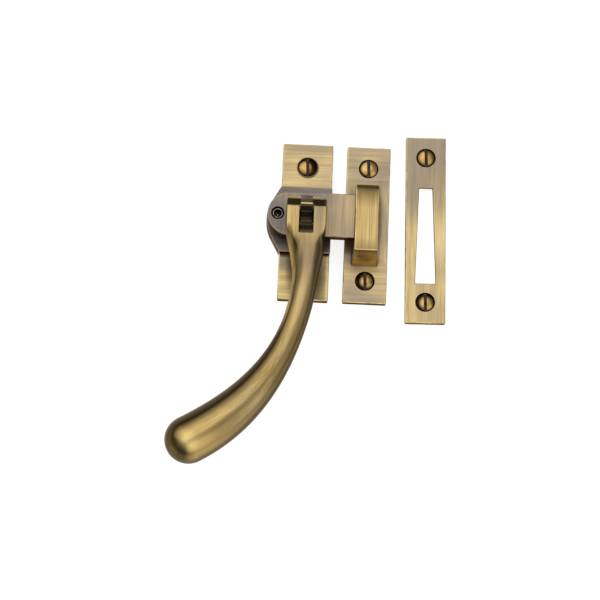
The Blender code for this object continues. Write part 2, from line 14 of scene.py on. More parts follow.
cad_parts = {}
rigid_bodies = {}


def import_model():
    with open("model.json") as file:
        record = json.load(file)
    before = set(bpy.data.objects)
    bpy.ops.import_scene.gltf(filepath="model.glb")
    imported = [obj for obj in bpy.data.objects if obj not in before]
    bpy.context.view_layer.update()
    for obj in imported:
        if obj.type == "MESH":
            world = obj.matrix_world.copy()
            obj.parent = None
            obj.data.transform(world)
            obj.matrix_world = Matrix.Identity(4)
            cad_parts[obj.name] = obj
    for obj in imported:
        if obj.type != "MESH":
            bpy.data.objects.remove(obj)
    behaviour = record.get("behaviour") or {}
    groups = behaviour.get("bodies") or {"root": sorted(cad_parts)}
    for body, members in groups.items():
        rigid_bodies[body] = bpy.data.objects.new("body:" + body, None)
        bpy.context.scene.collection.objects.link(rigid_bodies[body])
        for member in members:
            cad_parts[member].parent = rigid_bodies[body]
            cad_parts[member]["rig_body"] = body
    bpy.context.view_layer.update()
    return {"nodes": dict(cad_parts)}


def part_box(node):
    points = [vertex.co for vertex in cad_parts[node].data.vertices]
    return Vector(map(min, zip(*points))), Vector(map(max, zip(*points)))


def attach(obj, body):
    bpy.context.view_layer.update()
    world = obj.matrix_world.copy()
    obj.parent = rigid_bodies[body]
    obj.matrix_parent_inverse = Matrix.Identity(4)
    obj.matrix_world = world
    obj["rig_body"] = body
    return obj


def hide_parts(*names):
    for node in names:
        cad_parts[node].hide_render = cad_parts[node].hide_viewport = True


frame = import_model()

# Places taken from the CAD model
BASE_LOW, BASE_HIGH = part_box("base_plate")
TONGUE_LOW, TONGUE_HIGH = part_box("tongue")
HOOK_LOW, HOOK_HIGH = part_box("hook_plate")
MORTICE_LOW, MORTICE_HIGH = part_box("mortice_plate")
LOCK_LOW, LOCK_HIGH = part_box("lock_screw")
PIN_LOW, PIN_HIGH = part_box("handle_pin")
PIN_LEVEL = (PIN_LOW.z + PIN_HIGH.z) / 2
LOCK_X = (LOCK_LOW.x + LOCK_HIGH.x) / 2

# Base plate
BOSS_PROUD = 0.00015
BASE_THICK = 0.0035
BASE_WIDTH = 2 * (BASE_HIGH.x - BOSS_PROUD)
BASE_LENGTH = BASE_HIGH.y - BASE_LOW.y
BOSS_LENGTH = 0.0256
BOSS_LIFT = 0.0003
LOBE_RADIUS = -BASE_LOW.x
SPINDLE_BORE = 0.0066
RECESS_DIA = 0.013
RECESS_DEPTH = 0.0043

# Tongue
TONGUE_WIDTH = TONGUE_HIGH.y - TONGUE_LOW.y
HUB_HEIGHT = 0.0022
TONGUE_THICK = 0.004
SEAT_HEIGHT = 0.0046
TONGUE_BACK = TONGUE_LOW.z + HUB_HEIGHT
TONGUE_FACE = TONGUE_BACK + TONGUE_THICK
SEAT_FACE = TONGUE_FACE + SEAT_HEIGHT
HUB_DIA = 0.0126
SEAT_LENGTH = 0.0108
SEAT_WIDTH = 0.014
SEAT_EDGE = 0.0006
LUG_WIDTH = 0.0045
LUG_FOOT = 0.0116
LUG_RADIUS = TONGUE_HIGH.z - PIN_LEVEL
SPINDLE_SOCKET = 0.0147
LOCK_BORE = 0.0046
LOCK_MOUTH = 0.0002

# Handle
HEAD_WIDTH = 0.0147
HEAD_THICK = 0.007
HEAD_STRAIGHT = 0.0069
NECK_LENGTH = 0.0248
NECK_SHIFT = 0.0007
SHIFT_START = 0.0104
SHIFT_LENGTH = 0.0088
WAIST_WIDTH = 0.0091
WAIST_THICK = 0.0074
BULB_DIA = 0.0175
# Control points of the stem's centre line
STEM_POINTS = ((0.0007, -0.022), (0.0007, -0.034), (-0.0033, -0.0691), (-0.0392, -0.0895))
SWELL_START = 0.31
SWELL_RATE = 1.25
HEAD_FACET = 0.0138
WAIST_FACET = 0.0038
FACET_START = 0.0075
FACET_LENGTH = 0.0066
FACET_POWER = 2.0
SHOULDER_LENGTH = 0.004
HEAD_SQUARENESS = 5.0
NECK_SQUARENESS = 1.15
ROUND_SQUARENESS = 2.0
CROWN_START = 0.008
CROWN_END = 0.026
ROUNDING_START = 0.02
ROUNDING_END = 0.035
SOFT_SIDE = 0.65
SOFT_START = 0.009
SOFT_END = 0.018
# Rings that round off the fork's end: y and half thickness
FORK_END = ((0.0034, 0.0011), (0.0033, 0.0014), (0.0027, 0.00174), (-0.0003, 0.00345), (-0.0005, 0.0035))
FORK_CREST = 0.0026
FORK_WIDTH = 0.0051
FORK_DEPTH = 0.0106
FORK_CORNER = 0.0006
PIN_DIA = PIN_HIGH.z - PIN_LOW.z
PIN_PLAY = 0.0006
PIN_BORE = PIN_DIA + PIN_PLAY

# Hook plate
HOOK_X = (HOOK_LOW.x + HOOK_HIGH.x) / 2
HOOK_THICK = 0.003
HOOK_WIDTH = 0.0088
HOOK_SHIFT = -0.0005
HOOK_MIDDLE = HOOK_X + HOOK_SHIFT
HOOK_STRIP = 0.0031
HOOK_WALL = 0.0028
HOOK_BELOW = 0.0021
HOOK_ROOT = 0.0034
HOOK_ABOVE = 0.0035
HOOK_ROOT_Y = TONGUE_LOW.y - HOOK_BELOW
HOOK_BOTTOM_Y = HOOK_ROOT_Y - HOOK_ROOT
HOOK_TOP_Y = TONGUE_HIGH.y + HOOK_ABOVE
HOOK_END_DRAFT = 0.0022
HOOK_SIDE_DRAFT = 0.0006
HOOK_NOSE_LENGTH = 0.004
HOOK_NOSE_DEPTH = 0.0024

# Mortice plate
MORTICE_CENTRE = (MORTICE_LOW + MORTICE_HIGH) / 2
MORTICE_TURN = math.radians(1.2)
MORTICE_THICK = MORTICE_HIGH.z
MORTICE_LENGTH = 0.073
MORTICE_WIDTH = 0.0152
SLOT_LENGTH = 0.0374
SLOT_DROP = 0.0024
SLOT_NARROW = 0.005
SLOT_WIDE = 0.0077

# Wood screws and grub screw
SCREW_HEAD = 0.0069
SCREW_DOME = 0.0011
SCREW_SHANK = 0.0035
SCREW_LENGTH = 0.019
SCREW_POINT = 0.006
SCREW_TIP = 0.0006
SCREW_SLOT = 0.0012
SCREW_RIM = 0.0003
SCREW_RIM_SHARE = 0.4
SCREW_SLOT_DEPTH = 0.0014
SCREW_TURN = math.radians(2.4)
SCREW_PLAIN = 0.3 * SCREW_LENGTH
THREAD_PITCH = 0.0014
THREAD_DEPTH = 0.0004
# A thread's ridge: half its foot by the pitch, its root by the shank, its height left at the point
THREAD_FOOT = 0.34
THREAD_ROOT = 0.9
THREAD_END = 0.25
LOCK_PITCH = 0.0007
LOCK_THREAD = 0.0002
LOCK_POINT = 0.0008
LOCK_KEY_ACROSS = 0.0023
LOCK_KEY_DEPTH = 0.0022
LOCK_CHAMFER = 0.00025
LOCK_DISH = 0.00155
LOCK_DISH_DEPTH = LOCK_DISH / 3
LOCK_DRILL = 0.4 * LOCK_KEY_ACROSS
LOCK_DRILL_POINT = 0.3 * LOCK_KEY_ACROSS
LOCK_RING_FACING = (0.2, 0.95)
SEAT_GAP = 0.00025
# How each head is painted: the lean of its painted light, and the facing where its painted shade round the
# rim ends
SCREW_SHADING = {
    "base_screw_upper": (-0.24, -0.12, 0.875),
    "base_screw_lower": (0.0, 0.0, 0.84),
    "hook_screw_upper": (0.08, 0.02, 0.77),
    "hook_screw_lower": (0.1, -0.03, 0.87),
    "mortice_screw_upper": (0.0, 0.0, 0.81),
    "mortice_screw_lower": (0.1, -0.1, 0.86),
}

# Edges and facets
EDGE = 0.00035
FINE_EDGE = 0.0002
SINK = 0.001
OVER = 0.002
EDGE_SEGMENTS = 3
BEVEL_ANGLE = math.radians(32)
SHARP_ANGLE = math.radians(38)
ROUND = 64
ARC_STEPS = 40
NOSE_STEPS = 16
CORNER_STEPS = 5
DOME_STEPS = 12
RIM_STEPS = 4
THREAD_STEPS = 16
HEAD_STEPS = 36
STEM_STEPS = 56
END_STEPS = 14
QUARTER_STEPS = 14
FACET_STEPS = 5

# Material slots shared by every cast or cut piece
FACE, WORN_AND_LIT_EDGE, RECESS, SECOND, SECOND_EDGE = range(5)

# The photograph's camera, fitted to the plates
CAMERA_TARGET = Vector((-0.00093, -0.03238, 0.01))
CAMERA_DISTANCE = 0.928
CAMERA_TILT = math.radians(15.0)
CAMERA_SIDE = math.radians(-0.7)
CAMERA_ROLL = math.radians(2.36)
CAMERA_LENS = 150.0
CAMERA_SENSOR = 36.0
CAMERA_CLIP = 0.01

# Studio
FLOOR_LEVEL = 0.0
FLOOR_REACH = 4.0
FLOOR_GREY = (0.36, 0.36, 0.36, 1.0)
FLOOR_GLOW = 0.8
WHITE = (1.0, 1.0, 1.0, 1.0)
# Two heights in the sky and their strengths
SKY_LEVELS = (0.15, 0.8, 0.06, 0.5)
LIGHT_AIM = Vector((0.0, -0.03, 0.01))
LIGHT_DISTANCE = 1.3
# Each softbox's heading on the floor, tilt from overhead, size and radiance
SOFTBOXES = {
    "upper_softbox": (math.radians(135), math.radians(30), (2.2, 2.2), 1.0),
    "lower_softbox": (math.radians(-54), math.radians(57), (1.9, 1.25), 1.1),
}


def ease(share):
    """A smooth step from 0 to 1."""
    share = min(max(share, 0.0), 1.0)
    return share * share * (3.0 - 2.0 * share)


def mix(start, end, share):
    return start + (end - start) * share


def arc(centre, radius, start, end, steps=ARC_STEPS):
    """Points of an arc, with both its ends."""
    points = []
    for step in range(steps + 1):
        angle = start + (end - start) * step / steps
        points.append((centre[0] + radius * math.cos(angle), centre[1] + radius * math.sin(angle)))
    return points


def circle(centre, radius, steps=ROUND):
    return arc(centre, radius, 0.0, math.tau, steps)[:-1]


# Meshes

def add_object(name, data):
    made = bpy.data.objects.new(name, data)
    bpy.context.scene.collection.objects.link(made)
    return made


def piece_from(name, shape, slot=FACE):
    """Turn a finished bmesh into an object whose faces use one material slot."""
    bmesh.ops.recalc_face_normals(shape, faces=shape.faces)
    for face in shape.faces:
        face.material_index = slot
    mesh = bpy.data.meshes.new(name)
    shape.to_mesh(mesh)
    shape.free()
    for material in BLANKS:
        mesh.materials.append(material)
    return add_object(name, mesh)


def loft(name, rings, slot=FACE):
    """Skin rings that have equal counts of points, with a face over each end."""
    shape = bmesh.new()
    loops = [[shape.verts.new(point) for point in ring] for ring in rings]
    count = len(rings[0])
    for above, below in zip(loops, loops[1:]):
        for i in range(count):
            j = (i + 1) % count
            shape.faces.new((above[i], above[j], below[j], below[i]))
    shape.faces.new(loops[0])
    shape.faces.new(loops[-1])
    return piece_from(name, shape, slot)


def prism(name, outline, low, high, slot=FACE):
    """A flat outline raised from one height to another."""
    return loft(name, [[(x, y, z) for x, y in outline] for z in (low, high)], slot)


def side_prism(name, outline, low, high, slot=FACE):
    """A (y, z) outline that runs along X."""
    return loft(name, [[(x, y, z) for y, z in outline] for x in (low, high)], slot)


def block(name, low, high, slot=FACE):
    """A box between two corners."""
    corners = [(low[0], low[1]), (high[0], low[1]), (high[0], high[1]), (low[0], high[1])]
    return prism(name, corners, low[2], high[2], slot)


def turned(name, profile, centre=(0.0, 0.0), slot=FACE):
    """A turned shape from (radius, height) points between its two flat ends."""
    rings = []
    for radius, height in profile:
        rings.append([(x, y, height) for x, y in circle(centre, radius)])
    return loft(name, rings, slot)


def pin_eye():
    """The cutter of the pin's bore, along X."""
    return side_prism("eye", circle((0.0, PIN_LEVEL), PIN_BORE / 2), -HEAD_WIDTH, HEAD_WIDTH, RECESS)


def bake(piece):
    """Apply a piece's modifiers."""
    graph = bpy.context.evaluated_depsgraph_get()
    mesh = bpy.data.meshes.new_from_object(piece.evaluated_get(graph))
    piece.modifiers.clear()
    piece.data = mesh
    return piece


def soften(piece, width, slot=WORN_AND_LIT_EDGE):
    """Round a piece's sharp edges, with the new faces in a material slot of their own."""
    bevel = piece.modifiers.new("edges", "BEVEL")
    bevel.width = width
    bevel.segments = EDGE_SEGMENTS
    bevel.limit_method = "ANGLE"
    bevel.angle_limit = BEVEL_ANGLE
    bevel.material = slot
    return bake(piece)


def combine(piece, other, operation):
    """Join another piece to this one, or cut it away, and drop it."""
    step = piece.modifiers.new(operation, "BOOLEAN")
    step.operation = operation
    step.solver = "EXACT"
    step.object = other
    bake(piece)
    bpy.data.objects.remove(other, do_unlink=True)


def join(piece, other):
    combine(piece, other, "UNION")


def cut(piece, other):
    combine(piece, other, "DIFFERENCE")


def dress(piece, node, materials):
    """Shade a finished piece, give it its materials and put it in the place of its CAD node."""
    slots = piece.data.materials
    for index, material in enumerate(materials):
        slots[index] = material
    while len(slots) > len(materials):
        slots.pop()
    piece.data.shade_smooth()
    piece.data.set_sharp_from_angle(angle=SHARP_ANGLE)
    flat = piece.modifiers.new("flat_faces", "WEIGHTED_NORMAL")
    flat.keep_sharp = True
    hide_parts(node)
    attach(piece, frame["nodes"][node]["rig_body"])


# Pieces

def screw_place(node):
    """Axis and face height of a wood screw."""
    low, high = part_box(node)
    return (low.x + high.x) / 2, (low.y + high.y) / 2, high.z - SCREW_DOME


def cut_screw_holes(plate, family):
    """Countersunk holes, a little larger than the screws of the plate's family."""
    for node in SCREW_SHADING:
        if not node.startswith(family):
            continue
        x, y, face = screw_place(node)
        seat = SCREW_HEAD / 2 + SEAT_GAP
        bore = SCREW_SHANK / 2 + SEAT_GAP
        profile = [
            (seat + OVER, face + OVER),
            (bore, face - (seat - bore)),
            (bore, -OVER),
        ]
        cut(plate, turned("hole", profile, (x, y), slot=RECESS))


def plate_slab(name, centre, size, thick):
    half_x, half_y = size[0] / 2, size[1] / 2
    low = (centre[0] - half_x, centre[1] - half_y, 0.0)
    high = (centre[0] + half_x, centre[1] + half_y, thick)
    return soften(block(name, low, high), EDGE)


def lobe_reach(side, half):
    """Half the angle of the lobe's arc, whose ends run straight to the corners of the boss."""
    corner = math.hypot(side, half)
    return math.atan2(half, side) - math.acos(LOBE_RADIUS / corner)


def base_plate():
    plate = plate_slab("visual_base_plate", (0.0, 0.0), (BASE_WIDTH, BASE_LENGTH), BASE_THICK)
    side = BASE_WIDTH / 2 + BOSS_PROUD
    half = BOSS_LENGTH / 2
    meet = lobe_reach(side, half)
    outline = [(side, -half), (side, half), (-side, half)]
    outline += arc((0.0, 0.0), LOBE_RADIUS, math.pi - meet, math.pi + meet)
    outline += [(-side, -half)]
    boss = prism("boss", outline, BOSS_LIFT, BASE_HIGH.z, SECOND)
    join(plate, soften(boss, EDGE, SECOND_EDGE))
    bore = [(SPINDLE_BORE / 2, BASE_HIGH.z + OVER), (SPINDLE_BORE / 2, -OVER)]
    cut(plate, turned("bore", bore, slot=RECESS))
    recess = [(RECESS_DIA / 2, RECESS_DEPTH), (RECESS_DIA / 2, -OVER)]
    cut(plate, turned("recess", recess, slot=RECESS))
    cut_screw_holes(plate, "base_")
    dress(plate, "base_plate", (BASE_BRASS, EDGE_BRASS, RECESS_SHADE, BOSS_BRASS, BOSS_EDGE))


def lug_outline():
    """The knuckle lug from the side: a foot that rises to a round eye."""
    foot = LUG_FOOT / 2
    rise = PIN_LEVEL - SEAT_FACE
    tangent = math.atan2(-rise, foot) + math.acos(LUG_RADIUS / math.hypot(foot, rise))
    low = TONGUE_FACE - SINK
    outline = [(-foot, low), (foot, low), (foot, SEAT_FACE)]
    outline += arc((0.0, PIN_LEVEL), LUG_RADIUS, tangent, math.pi - tangent)
    outline += [(-foot, SEAT_FACE)]
    return outline


def tongue():
    half = TONGUE_WIDTH / 2
    reach = TONGUE_HIGH.x
    corner = math.asin(half / reach)
    quarter = math.pi / 2
    outline = arc((TONGUE_LOW.x + half, 0.0), half, quarter, 3 * quarter)
    outline += arc((0.0, 0.0), reach, -corner, corner)
    piece = soften(prism("visual_tongue", outline, TONGUE_BACK, TONGUE_FACE), EDGE)
    hub = [(HUB_DIA / 2, TONGUE_BACK + SINK), (HUB_DIA / 2, TONGUE_LOW.z)]
    join(piece, turned("hub", hub))
    low = (-SEAT_WIDTH / 2, -SEAT_LENGTH / 2, TONGUE_FACE - SINK)
    high = (SEAT_WIDTH / 2, SEAT_LENGTH / 2, SEAT_FACE)
    # The raised seat is painted dark as shade, with bright edges.
    join(piece, soften(block("seat", low, high, RECESS), SEAT_EDGE, SECOND_EDGE))
    lug = side_prism("lug", lug_outline(), -LUG_WIDTH / 2, LUG_WIDTH / 2, SECOND)
    join(piece, soften(lug, FINE_EDGE, SECOND))
    socket = [(SPINDLE_BORE / 2, SPINDLE_SOCKET), (SPINDLE_BORE / 2, TONGUE_LOW.z - OVER)]
    cut(piece, turned("socket", socket, slot=RECESS))
    cut(piece, pin_eye())
    bore = LOCK_BORE / 2
    mouth = [
        (bore + LOCK_MOUTH + OVER, TONGUE_FACE + OVER),
        (bore, TONGUE_FACE - LOCK_MOUTH),
        (bore, TONGUE_BACK - OVER),
    ]
    cut(piece, turned("mouth", mouth, (LOCK_X, 0.0), slot=RECESS))
    dress(piece, "tongue", (TONGUE_BRASS, GREY_EDGE, SHADE_BRASS, LUG_PAINTED_LIGHT, HOOK_EDGE))


def thread(radius, tip_radius, top, low, point, pitch, depth):
    """A closed helical ridge round a shank, thinning to the point, as a bmesh."""
    shape = bmesh.new()
    half_foot = pitch * THREAD_FOOT
    rise = Vector((0.0, 0.0, half_foot))
    count = int((top - low - half_foot) / pitch * THREAD_STEPS)
    rows = []
    for step in range(count + 1):
        height = top - pitch * step / THREAD_STEPS
        share = min(max((height - low) / point, 0.0), 1.0)
        shank = mix(tip_radius, radius, share)
        crest = shank + depth * min(share + THREAD_END, 1.0) * min(step / THREAD_STEPS, 1.0)
        angle = math.tau * step / THREAD_STEPS
        out = Vector((math.cos(angle), math.sin(angle), 0.0))
        middle = Vector((0.0, 0.0, height))
        root = middle + out * shank * THREAD_ROOT
        corners = (root + rise, middle + out * crest, root - rise)
        rows.append([shape.verts.new(corner) for corner in corners])
    for before, after in zip(rows, rows[1:]):
        for i in range(3):
            j = (i + 1) % 3
            shape.faces.new((before[i], after[i], after[j], before[j]))
    shape.faces.new(rows[0])
    shape.faces.new(rows[-1])
    bmesh.ops.recalc_face_normals(shape, faces=shape.faces)
    return shape


def add_thread(piece, shape):
    """Add a thread to a piece's own mesh."""
    shape.normal_update()
    shape.from_mesh(piece.data)
    shape.to_mesh(piece.data)
    shape.free()


def screw_profile():
    """(radius, height) points of a wood screw: dome, rolled rim, countersink, shank and point."""
    head = SCREW_HEAD / 2
    shank = SCREW_SHANK / 2
    dome = head - SCREW_RIM * SCREW_RIM_SHARE
    sphere = (dome * dome + SCREW_DOME * SCREW_DOME) / (2 * SCREW_DOME)
    half_angle = math.asin(dome / sphere)
    side = dome - SCREW_RIM * math.sin(half_angle)
    level = -SCREW_RIM * math.cos(half_angle)
    profile = []
    for step in range(1, DOME_STEPS + 1):
        angle = half_angle * step / DOME_STEPS
        profile.append((sphere * math.sin(angle), SCREW_DOME - sphere * (1 - math.cos(angle))))
    for step in range(1, RIM_STEPS + 1):
        angle = mix(half_angle, math.pi / 2, step / RIM_STEPS)
        profile.append((side + SCREW_RIM * math.sin(angle), level + SCREW_RIM * math.cos(angle)))
    profile += [(shank, -(head - shank) - SCREW_RIM), (shank, -(SCREW_LENGTH - SCREW_POINT))]
    return profile + [(SCREW_TIP / 2, -SCREW_LENGTH)]


def wood_screw_mesh():
    """One raised countersunk screw with its slot and thread, about its own axis."""
    piece = turned("wood_screw", screw_profile())
    low = (-SCREW_SLOT / 2, -SCREW_HEAD, SCREW_DOME - SCREW_SLOT_DEPTH)
    high = (SCREW_SLOT / 2, SCREW_HEAD, SCREW_DOME + OVER)
    cut(piece, block("slot", low, high, RECESS))
    sizes = (-SCREW_PLAIN, -SCREW_LENGTH, SCREW_POINT, THREAD_PITCH, THREAD_DEPTH)
    add_thread(piece, thread(SCREW_SHANK / 2, SCREW_TIP / 2, *sizes))
    mesh = piece.data
    bpy.data.objects.remove(piece, do_unlink=True)
    return mesh


def wood_screws():
    pattern = wood_screw_mesh()
    for node in SCREW_SHADING:
        place = Matrix.Translation(screw_place(node)) @ Matrix.Rotation(SCREW_TURN, 4, "Z")
        mesh = pattern.copy()
        mesh.transform(place)
        dress(add_object("visual_" + node, mesh), node, (screw_brass(node), EDGE_BRASS, SCREW_SLOT_SHADE))


def lock_screw():
    radius = (LOCK_HIGH.x - LOCK_LOW.x) / 2
    core = radius - LOCK_THREAD
    under = LOCK_HIGH.z - 3 * LOCK_CHAMFER
    profile = [
        (radius - LOCK_CHAMFER, LOCK_HIGH.z),
        (radius, LOCK_HIGH.z - LOCK_CHAMFER),
        (radius, LOCK_HIGH.z - 2 * LOCK_CHAMFER),
        (core, under),
        (core, LOCK_LOW.z + LOCK_POINT),
        (core - LOCK_POINT, LOCK_LOW.z),
    ]
    piece = turned("visual_lock_screw", profile)
    least, most = LOCK_RING_FACING
    for face in piece.data.polygons:
        if least < face.normal.z < most:
            face.material_index = WORN_AND_LIT_EDGE
    hexagon = circle((0.0, 0.0), LOCK_KEY_ACROSS / math.sqrt(3), 6)
    dish = [
        (LOCK_DISH + OVER, LOCK_HIGH.z + OVER),
        (LOCK_DISH - LOCK_DISH_DEPTH, LOCK_HIGH.z - LOCK_DISH_DEPTH),
    ]
    cut(piece, turned("dish", dish, slot=RECESS))
    low = LOCK_HIGH.z - LOCK_KEY_DEPTH
    cut(piece, prism("key", hexagon, low, LOCK_HIGH.z + OVER, RECESS))
    # The drill's point takes the pin's brass: a painted glint at the bottom of the key.
    drill = [(LOCK_DRILL, low + FINE_EDGE), (FINE_EDGE, low - LOCK_DRILL_POINT)]
    cut(piece, turned("drill", drill, slot=SECOND))
    sizes = (under, LOCK_LOW.z + LOCK_POINT, LOCK_POINT, LOCK_PITCH, LOCK_THREAD)
    add_thread(piece, thread(core, core, *sizes))
    piece.data.transform(Matrix.Translation((LOCK_X, 0.0, 0.0)))
    dress(piece, "lock_screw", (LOCK_STEEL, LOCK_RING, RECESS_SHADE, PIN_BRASS))


def handle_pin():
    radius = PIN_DIA / 2
    side = PIN_HIGH.x
    end = radius - EDGE
    rings = []
    for x, size in ((-side, end), (-side + EDGE, radius), (side - EDGE, radius), (side, end)):
        rings.append([(x, y, z) for y, z in circle((0.0, PIN_LEVEL), size)])
    dress(loft("visual_handle_pin", rings), "handle_pin", (PIN_BRASS, EDGE_BRASS, SHADE_BRASS))


def handle_quarter(half_width, half_thick, facet, squareness, rounding):
    """A quarter of a handle section, from the middle of its front to its side."""
    points = []
    power = 2.0 / squareness
    for step in range(QUARTER_STEPS + 1):
        turn = math.pi / 2 * step / QUARTER_STEPS
        if step <= FACET_STEPS:
            flat = (facet * step / FACET_STEPS, half_thick)
        else:
            lean = math.pi / 2 * (step - FACET_STEPS) / (QUARTER_STEPS - FACET_STEPS)
            out = math.sin(lean) ** power
            up = max(math.cos(lean), 0.0) ** power
            flat = (mix(facet, half_width, out), half_thick * up)
        oval = (half_width * math.sin(turn), half_thick * math.cos(turn))
        points.append((mix(flat[0], oval[0], rounding), mix(flat[1], oval[1], rounding)))
    return points


def handle_ring(centre, across, left, right):
    """A full section from its two front quarters, square to the handle's centre line."""
    whole = right + [(u, -w) for u, w in reversed(right[:-1])]
    whole += [(-u, -w) for u, w in left[1:]]
    whole += [(-u, w) for u, w in reversed(left[1:-1])]
    ring = []
    for u, w in whole:
        ring.append((centre[0] + across[0] * u, centre[1] + across[1] * u, PIN_LEVEL + w))
    return ring


def stem_point(share):
    """A point of the stem's centre line and its direction."""
    back = 1.0 - share
    a, b, c, d = (Vector(point) for point in STEM_POINTS)
    centre = a * back**3 + b * 3 * back**2 * share + c * 3 * back * share**2 + d * share**3
    along = (b - a) * back**2 + (c - b) * 2 * back * share + (d - c) * share**2
    return centre, along.normalized()


def between(value, start, end):
    """How far a value has come from start to end, eased."""
    return ease((value - start) / (end - start))


def handle_section(drop, swell, half_thick=None):
    """The left and right front quarters of the section at a distance below the pin."""
    neck = between(drop, HEAD_STRAIGHT, HEAD_STRAIGHT + NECK_LENGTH)
    narrow = 1.0 - math.exp(-((max(drop - FACET_START, 0.0) / FACET_LENGTH) ** FACET_POWER))
    crown = between(drop, CROWN_START, CROWN_END)
    rounding = between(drop, ROUNDING_START, ROUNDING_END)
    shoulder = between(drop, FACET_START, FACET_START + SHOULDER_LENGTH)
    square = mix(mix(HEAD_SQUARENESS, NECK_SQUARENESS, shoulder), ROUND_SQUARENESS, rounding)
    half_width = mix(mix(HEAD_WIDTH, WAIST_WIDTH, neck), BULB_DIA, swell) / 2
    half_thick = half_thick or mix(mix(HEAD_THICK, WAIST_THICK, neck), BULB_DIA, swell) / 2
    sizes = (half_width, half_thick, mix(HEAD_FACET, WAIST_FACET, narrow) / 2, square)
    crisp = (crown + rounding) / 2
    soft = max(crisp, SOFT_SIDE * between(drop, SOFT_START, SOFT_END))
    return handle_quarter(*sizes, crisp), handle_quarter(*sizes, soft)


def handle_rings():
    """All sections of the handle: fork end, head and neck, stem, bulb end."""
    rings = []
    straight = (1.0, 0.0)
    for y, half_thick in FORK_END:
        rings.append(handle_ring((0.0, y), straight, *handle_section(0.0, 0.0, half_thick)))
    for step in range(1, HEAD_STEPS):
        drop = mix(-FORK_END[-1][0], -STEM_POINTS[0][1], step / HEAD_STEPS)
        shift = NECK_SHIFT * between(drop, SHIFT_START, SHIFT_START + SHIFT_LENGTH)
        rings.append(handle_ring((shift, -drop), straight, *handle_section(drop, 0.0)))
    for step in range(STEM_STEPS + 1):
        share = step / STEM_STEPS
        centre, along = stem_point(share)
        across = (-along[1], along[0])
        swell = ease((max(share - SWELL_START, 0.0) / (1.0 - SWELL_START)) ** SWELL_RATE)
        rings.append(handle_ring(centre, across, *handle_section(-centre[1], swell)))
    radius = BULB_DIA / 2
    for step in range(1, END_STEPS):
        lean = math.pi / 2 * step / END_STEPS
        end = centre + along * radius * math.sin(lean)
        small = radius * math.cos(lean)
        quarter = handle_quarter(small, small, small / 2, ROUND_SQUARENESS, 1.0)
        rings.append(handle_ring(end, across, quarter, quarter))
    return rings


def fork_ring(grow, level):
    """The fork's slot at one level: square ends with small round corners."""
    half = FORK_WIDTH / 2 + grow
    low = -FORK_DEPTH - grow
    top = HEAD_THICK
    side = half - FORK_CORNER
    base = low + FORK_CORNER
    outline = [(half, top), (-half, top)]
    outline += arc((-side, base), FORK_CORNER, math.pi, 1.5 * math.pi, CORNER_STEPS)
    outline += arc((side, base), FORK_CORNER, 1.5 * math.pi, math.tau, CORNER_STEPS)
    return [(x, y, level) for x, y in outline]


def handle():
    piece = loft("visual_handle", handle_rings())
    # The fork's crest goes in the edge slot: bright as a worn edge and as a painted highlight.
    for face in piece.data.polygons:
        if face.center.y > FORK_CREST:
            face.material_index = WORN_AND_LIT_EDGE
    half = HEAD_THICK / 2
    lip = FINE_EDGE
    levels = (
        (OVER + lip, PIN_LEVEL - half - OVER),
        (0.0, PIN_LEVEL - half + lip),
        (0.0, PIN_LEVEL + half - lip),
        (OVER + lip, PIN_LEVEL + half + OVER),
    )
    cut(piece, loft("fork", [fork_ring(grow, level) for grow, level in levels], RECESS))
    cut(piece, pin_eye())
    dress(piece, "handle", (HANDLE_BRASS, EDGE_BRASS, SHADE_BRASS))


def hook_outline():
    """The hook from the side: a drafted block whose free end is rounded over."""
    foot = HOOK_THICK - SINK
    outline = [(HOOK_BOTTOM_Y - HOOK_END_DRAFT, foot), (HOOK_TOP_Y, foot)]
    for across, up in arc((0.0, 0.0), 1.0, 0.0, math.pi / 2, NOSE_STEPS):
        y = HOOK_TOP_Y - HOOK_NOSE_LENGTH * (1.0 - across)
        z = HOOK_HIGH.z - HOOK_NOSE_DEPTH * (1.0 - up)
        outline.append((y, z))
    outline += [(HOOK_BOTTOM_Y, HOOK_HIGH.z)]
    return outline


def hook_plate():
    size = (HOOK_HIGH.x - HOOK_LOW.x, HOOK_HIGH.y - HOOK_LOW.y)
    plate = plate_slab("visual_hook_plate", (HOOK_X, 0.0), size, HOOK_THICK)
    half = HOOK_WIDTH / 2
    hook = side_prism("hook", hook_outline(), -half, half, SECOND)
    height = HOOK_HIGH.z - HOOK_THICK
    for vertex in hook.data.vertices:
        depth = (HOOK_HIGH.z - vertex.co.z) / height
        vertex.co.x += math.copysign(HOOK_SIDE_DRAFT * depth, vertex.co.x)
    hook.data.transform(Matrix.Translation((HOOK_MIDDLE, 0.0, 0.0)))
    low = (HOOK_LOW.x, HOOK_ROOT_Y, HOOK_THICK - 2 * SINK)
    high = (HOOK_MIDDLE + half - HOOK_WALL, HOOK_HIGH.y, HOOK_HIGH.z - HOOK_STRIP)
    cut(hook, block("space", low, high, RECESS))
    join(plate, soften(hook, EDGE, SECOND_EDGE))
    cut_screw_holes(plate, "hook_")
    dress(plate, "hook_plate", (HOOK_PLATE_BRASS, EDGE_BRASS, RECESS_SHADE, HOOK_BRASS, HOOK_EDGE))


def mortice_slot(grow, level):
    """The tapered slot's outline at one level."""
    top = SLOT_LENGTH / 2 - SLOT_DROP + grow
    low = SLOT_LENGTH / 2 - SLOT_DROP - SLOT_LENGTH - grow
    narrow = SLOT_NARROW / 2 + grow
    wide = SLOT_WIDE / 2 + grow
    return [(-narrow, top, level), (-wide, low, level), (wide, low, level), (narrow, top, level)]


